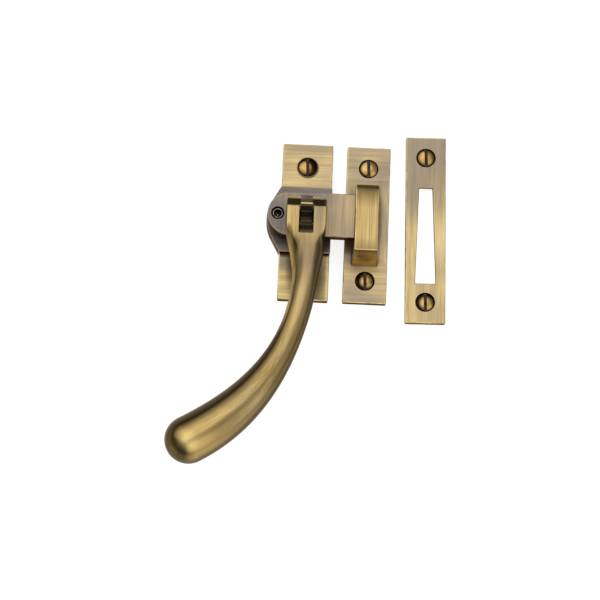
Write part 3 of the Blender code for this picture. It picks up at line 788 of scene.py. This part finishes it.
def mortice_plate():
    size = (MORTICE_WIDTH, MORTICE_LENGTH)
    plate = plate_slab("visual_mortice_plate", (0.0, 0.0), size, MORTICE_THICK)
    levels = (
        (0.0, -OVER),
        (0.0, MORTICE_THICK - FINE_EDGE),
        (FINE_EDGE + OVER, MORTICE_THICK + OVER),
    )
    cut(plate, loft("slot", [mortice_slot(grow, level) for grow, level in levels], SECOND))
    turn = Matrix.Rotation(MORTICE_TURN, 4, "Z")
    plate.data.transform(Matrix.Translation((MORTICE_CENTRE.x, MORTICE_CENTRE.y, 0.0)) @ turn)
    cut_screw_holes(plate, "mortice_")
    dress(plate, "mortice_plate", (MORTICE_BRASS, EDGE_BRASS, RECESS_SHADE, SLOT_WALL_SHADING))


# Materials

# Where a region's full strength ends, as a share of its reach
REGION_CORE = 0.25
# Brushed brass. A range has two noise values and, after them, the shares that they map to
BROAD_SHARE = 0.2
SOFT_DETAIL = 2.0
BLOTCH_SCALE = 55.0
STREAK_RANGE = (0.82, 1.18)
CLOUD_STREAKS = 0.6
CLOUD_RANGE = (0.74, 1.0, 0.0, 0.5)
PATCH_RANGE = (0.7, 1.3, 0.82, 1.0)
GRAIN_TURN = 0.0004
CORNER_REACH = 0.0016
CORNER_SAMPLES = 8
CORNER_RANGE = (0.3, 0.8, 0.2, 1.0)
GLOSS_RANGE = (0.6, 1.4)
GLOSS_CHANGE = 0.06
BUMP = {"Strength": 0.2, "Distance": 0.00002}
# Edges, bands, screws, plain metal and fibre
MOTTLE_RANGE = (0.3, 0.7)
EDGE_SCALE = 260.0
EDGE_RANGE = (0.3, 0.6, 0.5, 1.0)
EDGE_GLOSS = (0.4, 0.25)
BAND_SCALE = (300.0, 2000.0, 2000.0)
BAND_WANDER = 0.0003
BAND_FADE = 0.0002
BAND_GLOSS = (0.32, 0.24)
SCREW_SCALE = 700.0
SCREW_FADE = 0.12
METAL_GLOSS = 0.08
FIBRE_SCALE = 1500.0
FIBRE_DETAIL = 5.0
FIBRE_RANGE = (0.35, 0.65)
FIBRE_TONES = ((0.03, 0.022, 0.016), (0.09, 0.07, 0.05))
FIBRE_GLOSS = (0.7, 0.95)
BLACK = (0.0, 0.0, 0.0)


def add_node(tree, kind, inputs=None, **settings):
    """A shader node whose inputs are values or other nodes' sockets."""
    made = tree.nodes.new(kind)
    for key, value in settings.items():
        setattr(made, key, value)
    for key, value in (inputs or {}).items():
        if isinstance(value, bpy.types.NodeSocket):
            tree.links.new(value, made.inputs[key])
        else:
            made.inputs[key].default_value = value
    return made


def blank(name):
    made = bpy.data.materials.new(name)
    made.use_nodes = True
    return made


def new_look(name, metallic=1.0):
    """A material with its tree, its shader and its texture coordinates."""
    material = blank(name)
    tree = material.node_tree
    shader = tree.nodes["Principled BSDF"]
    shader.inputs["Metallic"].default_value = metallic
    return material, tree, shader, add_node(tree, "ShaderNodeTexCoord").outputs


def noise(tree, vector, scale, detail=3.0):
    """Noise stretched by a scale along each axis."""
    stretched = add_node(tree, "ShaderNodeMapping", {"Vector": vector, "Scale": scale})
    inputs = {"Vector": stretched.outputs["Vector"], "Scale": 1.0, "Detail": detail}
    return add_node(tree, "ShaderNodeTexNoise", inputs).outputs["Fac"]


def spread(tree, value, low, high, to_low=0.0, to_high=1.0):
    inputs = {"Value": value, "From Min": low, "From Max": high, "To Min": to_low, "To Max": to_high}
    return add_node(tree, "ShaderNodeMapRange", inputs).outputs["Result"]


def blend(tree, share, first, second):
    """Mix two colours, each a tone or a socket."""
    tones = []
    for tone in (first, second):
        tones.append(tone if isinstance(tone, bpy.types.NodeSocket) else (*tone, 1.0))
    inputs = {0: share, 6: tones[0], 7: tones[1]}
    return add_node(tree, "ShaderNodeMix", inputs, data_type="RGBA").outputs[2]


def maths(tree, operation, first, second=0.0):
    return add_node(tree, "ShaderNodeMath", {0: first, 1: second}, operation=operation).outputs[0]


def vectors(tree, operation, *values):
    inputs = dict(enumerate(values))
    return add_node(tree, "ShaderNodeVectorMath", inputs, operation=operation).outputs


def number_mix(tree, share, first, second):
    return add_node(tree, "ShaderNodeMix", {0: share, 2: first, 3: second}, data_type="FLOAT").outputs[0]


def one_axis(tree, vector, axis):
    return add_node(tree, "ShaderNodeSeparateXYZ", {0: vector}).outputs[axis]


def lit_share(tree, normal, lean, low, high):
    """How much of the bright colour a surface keeps, by its direction: painted shade on the sides and
    against the lean, partly tarnish.
    """
    facing = maths(tree, "ABSOLUTE", one_axis(tree, normal, "Z"))
    tilt = vectors(tree, "DOT_PRODUCT", normal, lean)["Value"]
    return spread(tree, maths(tree, "ADD", facing, tilt), low, high)


def near(tree, place, centre, reach, strength):
    """The strength in the middle of an oval region, falling to 0 at its reach."""
    offset = vectors(tree, "SUBTRACT", place, centre)[0]
    length = vectors(tree, "LENGTH", vectors(tree, "DIVIDE", offset, reach)[0])["Value"]
    return maths(tree, "MULTIPLY", spread(tree, length, 1.0, REGION_CORE), strength)


def bent_place(tree, place):
    """Object coordinates unrolled along the curved stem, the same on its front and back."""
    axes = add_node(tree, "ShaderNodeSeparateXYZ", {0: place})
    drop = maths(tree, "SUBTRACT", axes.outputs["Y"], STEM_POINTS[0][1])
    below = maths(tree, "MINIMUM", drop, 0.0)
    above = maths(tree, "MAXIMUM", drop, 0.0)
    side = maths(tree, "ADD", axes.outputs["X"], STEM_BEND_RADIUS)
    square = maths(tree, "ADD", maths(tree, "MULTIPLY", side, side), maths(tree, "MULTIPLY", below, below))
    across = maths(tree, "SUBTRACT", maths(tree, "SQRT", square), STEM_BEND_RADIUS)
    turn = maths(tree, "MULTIPLY", maths(tree, "ARCTAN2", below, side), STEM_BEND_RADIUS)
    along = maths(tree, "ADD", maths(tree, "ADD", turn, above), STEM_POINTS[0][1])
    depth = maths(tree, "ABSOLUTE", maths(tree, "SUBTRACT", axes.outputs["Z"], PIN_LEVEL))
    height = maths(tree, "ADD", depth, PIN_LEVEL)
    return add_node(tree, "ShaderNodeCombineXYZ", {0: across, 1: along, 2: height}).outputs[0]


def link_finish(tree, shader, colour, gloss):
    tree.links.new(colour, shader.inputs["Base Color"])
    tree.links.new(gloss, shader.inputs["Roughness"])


def streaks(tree, place, grain):
    """Fine and broad noise along a grain."""
    broad = [axis * BROAD_SHARE for axis in grain]
    return noise(tree, place, grain), noise(tree, place, broad, SOFT_DETAIL)


def worn_brass_with_painted_shade(name, tones, grain, roughness, lean, sides=(0.5, 0.88), bent=False,
               tint=(0.4, 0.32, 0.22), patches=(), painted_shades=(), painted_highlights=(), turned_ends=0.0, shade_and_patina_level=0.3):
    """Brushed brass: streaks along the grain, patches of other tones, painted shade on its sides.

    Painted shades darken it and painted highlights lift it, and some patches are painted light too. Each
    has a centre, a reach and a strength, and a patch has a tone too.
    """
    light, dark, cool = tones
    material, tree, shader, coords = new_look(name)
    place = coords["Object"]
    track = bent_place(tree, place) if bent else place
    fine, broad = streaks(tree, track, grain)
    if turned_ends:
        fine_ends, broad_ends = streaks(tree, track, (grain[1], grain[0], grain[2]))
        height = maths(tree, "ABSOLUTE", one_axis(tree, place, "Y"))
        at_end = spread(tree, height, turned_ends, turned_ends + GRAIN_TURN)
        fine = number_mix(tree, at_end, fine, fine_ends)
        broad = number_mix(tree, at_end, broad, broad_ends)
    streak = maths(tree, "ADD", fine, broad)
    blotch = noise(tree, place, (BLOTCH_SCALE,) * 3, SOFT_DETAIL)
    colour = blend(tree, spread(tree, streak, *STREAK_RANGE), dark, light)
    cloud = maths(tree, "ADD", blotch, maths(tree, "MULTIPLY", broad, CLOUD_STREAKS))
    colour = blend(tree, spread(tree, cloud, *CLOUD_RANGE), colour, cool)
    for centre, reach, strength, tone in patches:
        brushed = blend(tree, spread(tree, streak, *PATCH_RANGE), BLACK, tone)
        colour = blend(tree, near(tree, track, centre, reach, strength), colour, brushed)
    keep = lit_share(tree, coords["Normal"], lean, *sides)
    # Occlusion in the piece's own corners darkens the colour there: painted shade.
    settings = {"only_local": True, "samples": CORNER_SAMPLES}
    corner = add_node(tree, "ShaderNodeAmbientOcclusion", {"Distance": CORNER_REACH}, **settings)
    keep = maths(tree, "MULTIPLY", keep, spread(tree, corner.outputs["AO"], *CORNER_RANGE))
    for shade_mark in painted_shades:
        unshaded = maths(tree, "SUBTRACT", 1.0, near(tree, track, *shade_mark))
        keep = maths(tree, "MULTIPLY", keep, unshaded)
    for highlight_mark in painted_highlights:
        keep = maths(tree, "MAXIMUM", keep, near(tree, track, *highlight_mark))
    # The colour where the bright finish gives way: painted shade, partly tarnish of the sides.
    shade_and_patina = tuple(channel * shade_and_patina_level for channel in dark)
    gloss = spread(tree, streak, *GLOSS_RANGE, roughness + GLOSS_CHANGE, roughness - GLOSS_CHANGE)
    link_finish(tree, shader, blend(tree, keep, shade_and_patina, colour), gloss)
    bump = add_node(tree, "ShaderNodeBump", {"Height": streak, **BUMP})
    tree.links.new(bump.outputs["Normal"], shader.inputs["Normal"])
    shader.inputs["Specular Tint"].default_value = (*tint, 1.0)
    return material


def edge_brass(name, light, dark, lean, sides=(0.3, 0.95)):
    """Bright edges, partly worn and partly painted highlight, with painted shade on the sides turned
    against the lean.
    """
    material, tree, shader, coords = new_look(name)
    wear = noise(tree, coords["Object"], (EDGE_SCALE,) * 3)
    keep = lit_share(tree, coords["Normal"], lean, *sides)
    keep = maths(tree, "MULTIPLY", keep, spread(tree, wear, *EDGE_RANGE))
    gloss = spread(tree, wear, *MOTTLE_RANGE, *EDGE_GLOSS)
    link_finish(tree, shader, blend(tree, keep, dark, light), gloss)
    return material


def banded_brass(name, axis, colour, bands):
    """Brass in bands along one axis: each tone runs from its start up to the next one."""
    material, tree, shader, coords = new_look(name)
    place = coords["Object"]
    scratch = noise(tree, place, BAND_SCALE)
    wander = maths(tree, "ADD", one_axis(tree, place, axis), maths(tree, "MULTIPLY", scratch, BAND_WANDER))
    for start, tone in bands:
        colour = blend(tree, spread(tree, wander, start, start + BAND_FADE), colour, tone)
    link_finish(tree, shader, colour, spread(tree, scratch, *MOTTLE_RANGE, *BAND_GLOSS))
    return material


def screw_brass(node):
    """A screw head's brass, with painted shade round its rim and its painted light leaning to one side."""
    lean_x, lean_y, rim = SCREW_SHADING[node]
    return worn_brass_with_painted_shade(
        "brass_" + node, SCREW_TONES, (SCREW_SCALE,) * 3, 0.33, (lean_x, lean_y, 0.0),
        sides=(rim, rim + SCREW_FADE), shade_and_patina_level=0.07, tint=(0.2, 0.15, 0.1),
    )


def plain_metal(name, light, dark, roughness, scale=900.0):
    """Metal with a fine mottle in its colour and gloss."""
    material, tree, shader, coords = new_look(name)
    mottle = noise(tree, coords["Object"], (scale,) * 3)
    colour = blend(tree, spread(tree, mottle, *MOTTLE_RANGE), dark, light)
    gloss = spread(tree, mottle, *MOTTLE_RANGE, roughness + METAL_GLOSS, roughness)
    link_finish(tree, shader, colour, gloss)
    return material


def fibre(name):
    material, tree, shader, coords = new_look(name, metallic=0.0)
    fleck = noise(tree, coords["Object"], (FIBRE_SCALE,) * 3, FIBRE_DETAIL)
    colour = blend(tree, spread(tree, fleck, *FIBRE_RANGE), *FIBRE_TONES)
    link_finish(tree, shader, colour, spread(tree, fleck, *MOTTLE_RANGE, *FIBRE_GLOSS))
    return material


# Studio

def area_lamp(name, heading, tilt, size, radiance):
    """A softbox tilted from overhead towards a heading on the floor."""
    side = Vector((-math.sin(heading), math.cos(heading), 0.0))
    out = Vector((math.cos(heading), math.sin(heading), 0.0)) * math.sin(tilt)
    out.z = math.cos(tilt)
    data = bpy.data.lights.new(name, "AREA")
    data.shape = "RECTANGLE"
    data.size, data.size_y = size
    data.energy = radiance * math.pi * size[0] * size[1]
    axes = Matrix((side, out.cross(side), out)).transposed().to_4x4()
    lamp = add_object(name, data)
    lamp.matrix_world = Matrix.Translation(LIGHT_AIM + out * LIGHT_DISTANCE) @ axes


def floor():
    """A pale floor that looks white where it is seen, and keeps the shadow."""
    shape = bmesh.new()
    bmesh.ops.create_grid(shape, x_segments=1, y_segments=1, size=FLOOR_REACH)
    mesh = bpy.data.meshes.new("floor")
    shape.to_mesh(mesh)
    shape.free()
    piece = add_object("floor", mesh)
    piece.location = (0.0, 0.0, FLOOR_LEVEL)
    material = blank("floor_white")
    tree = material.node_tree
    tree.nodes.remove(tree.nodes["Principled BSDF"])
    output = tree.nodes["Material Output"]
    paint = add_node(tree, "ShaderNodeBsdfDiffuse", {"Color": FLOOR_GREY})
    rays = add_node(tree, "ShaderNodeLightPath")
    seen = rays.outputs["Is Camera Ray"]
    for more in ("Is Glossy Ray", "Is Transmission Ray"):
        seen = maths(tree, "MAXIMUM", seen, rays.outputs[more])
    share = maths(tree, "MULTIPLY", seen, FLOOR_GLOW)
    glow = add_node(tree, "ShaderNodeEmission", {"Color": WHITE, "Strength": share})
    both = add_node(tree, "ShaderNodeAddShader", {0: paint.outputs[0], 1: glow.outputs[0]})
    tree.links.new(both.outputs[0], output.inputs["Surface"])
    mesh.materials.append(material)


def world():
    made = bpy.data.worlds.new("studio")
    made.use_nodes = True
    bpy.context.scene.world = made
    tree = made.node_tree
    direction = add_node(tree, "ShaderNodeTexCoord").outputs["Generated"]
    sky = tree.nodes["Background"]
    tree.links.new(spread(tree, one_axis(tree, direction, "Z"), *SKY_LEVELS), sky.inputs["Strength"])
    sky.inputs["Color"].default_value = WHITE


def studio():
    floor()
    world()
    for name, softbox in SOFTBOXES.items():
        area_lamp(name, *softbox)


def camera():
    level = math.cos(CAMERA_TILT)
    view = Vector((math.sin(CAMERA_SIDE) * level, -math.sin(CAMERA_TILT), level * math.cos(CAMERA_SIDE)))
    view.normalize()
    up = Vector((0.0, 1.0, 0.0))
    up = (up - view * view.dot(up)).normalized()
    right = up.cross(view)
    turned_right = right * math.cos(CAMERA_ROLL) + up * math.sin(CAMERA_ROLL)
    turned_up = up * math.cos(CAMERA_ROLL) - right * math.sin(CAMERA_ROLL)
    data = bpy.data.cameras.new("photo_camera")
    data.lens = CAMERA_LENS
    data.sensor_width = CAMERA_SENSOR
    data.clip_start = CAMERA_CLIP
    basis = Matrix((turned_right, turned_up, view)).transposed().to_4x4()
    eye = add_object("photo_camera", data)
    eye.matrix_world = Matrix.Translation(CAMERA_TARGET + view * CAMERA_DISTANCE) @ basis
    bpy.context.scene.camera = eye


# Tones and finishes

BASE_SCREW_Y = screw_place("base_screw_upper")[1]
BLANKS = [blank(f"blank_{slot}") for slot in range(SECOND_EDGE + 1)]

GOLD = (0.64, 0.48, 0.215)
GOLD_DARK = (0.42, 0.31, 0.15)
RUBBED_AND_LIT_GOLD = (0.74, 0.56, 0.24)
COOL = (0.30, 0.24, 0.17)
LUG_SHADE = (0.05, 0.04, 0.028)
# Where each band of the lug starts in y, and its tone: painted highlights and painted shade across the lug
LUG_LIGHT_AND_SHADE_BANDS = (
    (-0.0048, (0.3, 0.22, 0.12)),
    (-0.0041, (0.45, 0.33, 0.18)),
    (-0.0034, (0.24, 0.18, 0.1)),
    (-0.002, (0.012, 0.01, 0.008)),
    (-0.0003, (0.045, 0.036, 0.024)),
    (0.0006, (0.68, 0.5, 0.2)),
    (0.0014, (0.03, 0.023, 0.018)),
    (0.0032, (0.2, 0.17, 0.145)),
)
STEM_BEND_RADIUS = 0.079
ACROSS, ALONG = 2400.0, 60.0
LENGTHWISE = (ACROSS, ALONG, ACROSS)
CROSSWISE = (ALONG, ACROSS, ACROSS)
GOLD_TONES = (GOLD, GOLD_DARK, COOL)
HANDLE_TONES = ((0.50, 0.36, 0.15), (0.35, 0.24, 0.09), (0.36, 0.275, 0.15))
HOOK_TONES = ((0.55, 0.395, 0.165), (0.36, 0.255, 0.10), (0.38, 0.28, 0.14))
TONGUE_TONES = ((0.42, 0.32, 0.185), (0.30, 0.23, 0.145), (0.26, 0.21, 0.165))
SCREW_TONES = ((0.6, 0.43, 0.165), (0.5, 0.29, 0.08), (0.52, 0.33, 0.11))
BASE_GREY = (0.28, 0.245, 0.205)
BASE_GLEAM = (0.95, 0.72, 0.33)
BOSS_SHADE = (0.15, 0.126, 0.11)
LOBE_GLEAM = (0.5, 0.46, 0.42)
HOOK_SHADOW_GREY = (0.27, 0.225, 0.19)
HOOK_GLEAM = (0.9, 0.66, 0.26)
MORTICE_GLEAM = (0.76, 0.59, 0.31)
SEAT_SHADE_GREY = (0.22, 0.184, 0.16)
TIP_GOLD = (0.56, 0.43, 0.235)
TAIL_GREY = (0.2, 0.165, 0.148)
NECK_GREY = (0.27, 0.198, 0.108)
BULB_GOLD = (0.6, 0.42, 0.14)
END_HIGHLIGHT_GOLD = (0.9, 0.68, 0.28)
FLANK_REFLECTION_GOLD = (0.6, 0.4, 0.12)
PRONG_GREY = (0.29, 0.22, 0.14)
PRONG_HIGHLIGHT_GOLD = (0.54, 0.405, 0.18)
BOSS_TONES = ((0.225, 0.185, 0.16), (0.165, 0.14, 0.125), (0.18, 0.155, 0.145))
BOSS_LEVEL = 0.006
LOBE_SIDE = (-0.0125, -0.0095, 0.0015)
LOBE_HIGHLIGHT_REACH = (0.008, 0.0095, 0.0042)
# Leans of the painted shade: sides turned along a lean stay lit, those turned against it are painted dark.
PLATE_LEAN = (-0.3, 0.2, 0.0)
HANDLE_LEAN = (-0.04, -0.5, 0.0)
# Painted reflections in gold on the handle's flanks and the right prong's edge: centre, reach and strength
HANDLE_FLANK_REFLECTIONS = (
    ((-0.0056, -0.0195, 0.0232), (0.0034, 0.0125, 0.0042), 0.66),
    ((-0.0046, -0.036, 0.023), (0.0018, 0.02, 0.004), 0.6),
    ((-0.0046, -0.0185, 0.0244), (0.0014, 0.0065, 0.003), 0.5),
    ((-0.0036, -0.027, 0.0244), (0.0014, 0.0095, 0.003), 0.55),
    ((-0.0034, -0.039, 0.024), (0.0012, 0.012, 0.0035), 0.55),
    ((0.0074, -0.005, 0.0245), (0.0014, 0.011, 0.003), 0.8),
)
# The hook's lean: faces turned down the plate stay lit, those turned up it are painted dark.
HOOK_LEAN = (-0.2, -0.75, 0.0)

BASE_BRASS = worn_brass_with_painted_shade(
    "base_brass", GOLD_TONES, CROSSWISE, 0.36, PLATE_LEAN,
    patches=(
        ((0.0, 0.03, BASE_THICK), (0.02, 0.006, 0.01), 0.6, COOL),
        ((-0.0065, -0.0145, BASE_THICK), (0.007, 0.006, 0.004), 0.8, BASE_GREY),
        ((0.0092, -0.023, BASE_THICK), (0.0014, 0.013, 0.003), 1.0, BASE_GLEAM),
    ),
    # Painted shadows: of the handle on both its sides, of the boss along its lower edge, and a dark ring
    # round the upper screw.
    painted_shades=(
        ((0.0045, -0.0205, BASE_THICK), (0.006, 0.02, 0.004), 0.92),
        ((-0.0044, -0.0155, BASE_THICK), (0.0028, 0.0145, 0.004), 0.9),
        ((-0.007, -0.0131, BASE_THICK), (0.009, 0.0015, 0.003), 1.3),
        ((0.0001, BASE_SCREW_Y - 0.0003, BASE_THICK), (0.0044, 0.0044, 0.003), 8.0),
    ),
)
BOSS_BRASS = worn_brass_with_painted_shade(
    "boss_brass", BOSS_TONES, CROSSWISE, 0.4, PLATE_LEAN, shade_and_patina_level=0.16,
    patches=(
        ((-0.0125, 0.0075, BOSS_LEVEL), (0.008, 0.008, 0.004), 0.8, BOSS_SHADE),
        # Painted highlight on the lobe's lower left edge.
        (LOBE_SIDE, LOBE_HIGHLIGHT_REACH, 1.0, LOBE_GLEAM),
    ),
    # Painted shadow of the tongue and handle on the boss below them.
    painted_shades=(
        ((0.006, -0.0105, BOSS_LEVEL), (0.007, 0.007, 0.004), 0.8),
        ((-0.0105, -0.0075, BOSS_LEVEL), (0.007, 0.007, 0.004), 0.42),
    ),
    # The lobe's painted highlight also lifts its painted shade.
    painted_highlights=((LOBE_SIDE, LOBE_HIGHLIGHT_REACH, 0.9),),
)
HOOK_PLATE_BRASS = worn_brass_with_painted_shade(
    "hook_plate_brass", GOLD_TONES, LENGTHWISE, 0.36, PLATE_LEAN,
    patches=(
        ((HOOK_HIGH.x - 0.002, 0.0, HOOK_THICK), (0.004, 0.016, 0.004), 0.6, COOL),
        ((HOOK_X, 0.0165, HOOK_THICK), (0.02, 0.012, 0.006), 0.7, COOL),
        ((HOOK_X + 0.007, 0.022, HOOK_THICK), (0.01, 0.012, 0.006), 0.8, COOL),
        ((HOOK_X - 0.005, -0.027, HOOK_THICK), (0.009, 0.009, 0.006), 0.7, COOL),
        ((HOOK_X - 0.006, 0.027, HOOK_THICK), (0.009, 0.009, 0.006), 0.6, COOL),
        ((HOOK_X + 0.001, HOOK_LOW.y, HOOK_THICK), (0.014, 0.0055, 0.006), 0.95, COOL),
        ((HOOK_X, HOOK_HIGH.y, HOOK_THICK), (0.014, 0.004, 0.006), 0.7, COOL),
        # Painted shadow under the tongue, left of the hook.
        ((HOOK_X - 0.004, -0.0115, HOOK_THICK), (0.006, 0.0085, 0.003), 1.0, HOOK_SHADOW_GREY),
    ),
    # Painted shadows: under the tongue, along the hook's end and right side, and at its upper left.
    painted_shades=(
        ((HOOK_X - 0.004, -0.0115, HOOK_THICK), (0.005, 0.0075, 0.003), 0.1),
        ((HOOK_MIDDLE, HOOK_BOTTOM_Y, HOOK_THICK), (0.008, 0.0013, 0.003), 0.7),
        ((HOOK_MIDDLE + HOOK_WIDTH / 2 + 0.0005, 0.0, HOOK_THICK), (0.0016, 0.02, 0.003), 0.85),
        ((HOOK_MIDDLE - HOOK_WIDTH / 2 - 0.0008, 0.0115, HOOK_THICK), (0.0022, 0.004, 0.003), 0.55),
        ((HOOK_LOW.x + 0.0025, -0.0095, HOOK_THICK), (0.004, 0.0035, 0.003), 0.6),
    ),
    turned_ends=0.0145,
)
HOOK_BRASS = worn_brass_with_painted_shade(
    "hook_brass", HOOK_TONES, LENGTHWISE, 0.33, HOOK_LEAN, shade_and_patina_level=0.4,
    # Painted shade on the hook's rounded nose, at its end and along its right side.
    painted_shades=(
        ((HOOK_X, HOOK_TOP_Y, HOOK_HIGH.z), (0.02, 0.0095, 0.01), 1.0),
        ((HOOK_X, HOOK_BOTTOM_Y, HOOK_HIGH.z), (0.02, 0.005, 0.003), 0.5),
        ((HOOK_MIDDLE + HOOK_WIDTH / 2, 0.0, HOOK_HIGH.z), (0.0013, 0.03, 0.004), 0.5),
    ),
    patches=(((HOOK_X, HOOK_BOTTOM_Y - 0.0013, 0.009), (0.02, 0.0026, 0.012), 1.0, HOOK_GLEAM),),
)
MORTICE_BRASS = worn_brass_with_painted_shade(
    "mortice_brass", GOLD_TONES, LENGTHWISE, 0.36, PLATE_LEAN,
    # Painted reflection: greyer towards the top, with a brighter band beside the slot.
    patches=(
        ((MORTICE_CENTRE.x, 0.031, MORTICE_THICK), (0.03, 0.031, 0.01), 0.95, COOL),
        ((MORTICE_CENTRE.x - 0.005, 0.015, MORTICE_THICK), (0.012, 0.016, 0.01), 0.9, COOL),
        ((MORTICE_CENTRE.x + 0.006, -0.004, MORTICE_THICK), (0.005, 0.013, 0.01), 0.6, MORTICE_GLEAM),
    ),
)
TONGUE_BRASS = worn_brass_with_painted_shade(
    "tongue_brass", TONGUE_TONES, LENGTHWISE, 0.38, PLATE_LEAN,
    patches=(
        ((LOCK_X - 0.002, -0.002, TONGUE_FACE), (0.018, 0.02, 0.01), 1.0, TAIL_GREY),
        # Painted shade on the tongue above the handle's head.
        ((0.002, 0.007, TONGUE_FACE), (0.011, 0.006, 0.006), 1.0, SEAT_SHADE_GREY),
        ((TONGUE_HIGH.x - 0.002, 0.003, TONGUE_FACE), (0.008, 0.012, 0.006), 0.8, TIP_GOLD),
    ),
)
HANDLE_BRASS = worn_brass_with_painted_shade(
    "handle_brass", HANDLE_TONES, LENGTHWISE, 0.31, HANDLE_LEAN, sides=(0.6, 0.96), bent=True,
    tint=(0.9, 0.84, 0.76), shade_and_patina_level=0.17,
    patches=(
        ((0.0058, -0.003, 0.0255), (0.006, 0.011, 0.006), 0.9, PRONG_GREY),
        ((0.001, -0.0185, 0.0255), (0.008, 0.014, 0.008), 0.9, NECK_GREY),
        # Painted highlight along the left prong.
        ((-0.0078, -0.003, 0.0255), (0.0034, 0.009, 0.005), 0.9, PRONG_HIGHLIGHT_GOLD),
        ((0.0015, -0.104, 0.0305), (0.012, 0.024, 0.022), 0.7, BULB_GOLD),
        # Painted highlight at the bulb's end.
        ((0.001, -0.105, 0.03), (0.0045, 0.0045, 0.012), 0.5, END_HIGHLIGHT_GOLD),
        # Painted reflections on the flanks.
        *((centre, reach, 1.0, FLANK_REFLECTION_GOLD) for centre, reach, _ in HANDLE_FLANK_REFLECTIONS),
    ),
    # Painted shade: a dark streak down the stem, the dark line along the left crease, the dark bands of
    # the stem and bulb, the prongs' dark ends and the bulb's dark end.
    painted_shades=(
        ((0.0012, -0.054, 0.028), (0.0016, 0.03, 0.012), 0.25),
        ((-0.0064, -0.009, 0.0245), (0.0014, 0.0022, 0.003), 0.8),
        ((-0.0057, -0.0106, 0.0245), (0.0014, 0.0022, 0.003), 0.85),
        ((-0.005, -0.0122, 0.0245), (0.0013, 0.0022, 0.003), 0.85),
        ((-0.0042, -0.0138, 0.0248), (0.0013, 0.0022, 0.003), 0.85),
        ((-0.0031, -0.0155, 0.0252), (0.0016, 0.005, 0.003), 0.75),
        ((-0.0016, -0.0225, 0.0252), (0.0015, 0.0075, 0.003), 0.7),
        ((-0.002, -0.0285, 0.0254), (0.0016, 0.0055, 0.003), 0.55),
        ((-0.0028, -0.036, 0.0256), (0.0021, 0.013, 0.004), 0.4),
        ((-0.0034, -0.06, 0.027), (0.0026, 0.045, 0.006), 0.36),
        ((-0.0055, -0.1, 0.029), (0.003, 0.022, 0.008), 0.4),
        ((0.0035, -0.0905, 0.03), (0.0031, 0.015, 0.012), 0.55),
        ((0.0, 0.0012, 0.0246), (0.03, 0.0024, 0.004), 0.78),
        ((0.0005, -0.1135, 0.022), (0.013, 0.0075, 0.012), 0.8),
        ((-0.0015, -0.1095, 0.028), (0.006, 0.005, 0.006), 0.7),
        ((0.0045, -0.109, 0.0265), (0.005, 0.005, 0.008), 0.9),
    ),
    # The painted reflections also lift the painted shade on the flanks.
    painted_highlights=HANDLE_FLANK_REFLECTIONS,
)
LUG_PAINTED_LIGHT = banded_brass("lug_painted_light", "Y", LUG_SHADE, LUG_LIGHT_AND_SHADE_BANDS)
# The mortice slot's wall: painted light, pale, near the floor and painted shade above.
SLOT_WALL_SHADING = banded_brass("slot_wall_shading", "Z", (0.9, 0.82, 0.68), ((0.0019, (0.07, 0.05, 0.028)),))
# Edge tones: bright as worn edges and painted highlights, dark as painted shade by each lean.
EDGE_BRASS = edge_brass("edge_brass", RUBBED_AND_LIT_GOLD, (0.1, 0.07, 0.03), (0.05, -0.2, 0.0), (0.15, 0.7))
HOOK_EDGE = edge_brass("hook_edge", RUBBED_AND_LIT_GOLD, (0.13, 0.09, 0.04), (-0.35, 0.2, 0.0))
BOSS_EDGE = edge_brass("boss_edge", (0.42, 0.32, 0.17), (0.06, 0.054, 0.048), (0.7, -0.3, 0.0))
GREY_EDGE = edge_brass("grey_edge", (0.36, 0.3, 0.21), (0.06, 0.05, 0.04), (-0.3, -0.12, 0.0))
# Painted shade: in the screws' slots; on the tongue's seat and in bores and the fork's slot; in holes,
# countersinks and the lock screw's socket.
SCREW_SLOT_SHADE = plain_metal("screw_slot_shade", (0.07, 0.052, 0.045), (0.03, 0.022, 0.018), 0.45)
SHADE_BRASS = plain_metal("dark_brass", (0.07, 0.05, 0.028), (0.03, 0.022, 0.013), 0.4)
RECESS_SHADE = plain_metal("recess_shade", (0.03, 0.022, 0.016), (0.012, 0.009, 0.007), 0.45)
PIN_BRASS = plain_metal("pin_brass", (0.35, 0.25, 0.11), (0.2, 0.14, 0.06), 0.3)
STEEL = plain_metal("bright_steel", (0.6, 0.6, 0.6), (0.42, 0.42, 0.43), 0.22)
LOCK_STEEL = plain_metal("lock_steel", (0.36, 0.34, 0.31), (0.08, 0.072, 0.062), 0.24, 700.0)
LOCK_RING = plain_metal("lock_ring", (0.36, 0.34, 0.31), (0.12, 0.11, 0.1), 0.24)
DARK_STEEL = plain_metal("dark_steel", (0.16, 0.15, 0.14), (0.08, 0.075, 0.07), 0.35)
FIBRE = fibre("washer_fibre")

base_plate()
tongue()
handle()
handle_pin()
lock_screw()
hook_plate()
mortice_plate()
wood_screws()
for inner, finish in (
    ("spindle", STEEL),
    ("thrust_washer", STEEL),
    ("disc_spring", DARK_STEEL),
    ("friction_washer", FIBRE),
):
    solid = frame["nodes"][inner]
    solid.data.materials.clear()
    solid.data.materials.append(finish)
for spare in BLANKS:
    bpy.data.materials.remove(spare)
studio()
camera()
bpy.context.scene.view_settings.view_transform = "Standard"
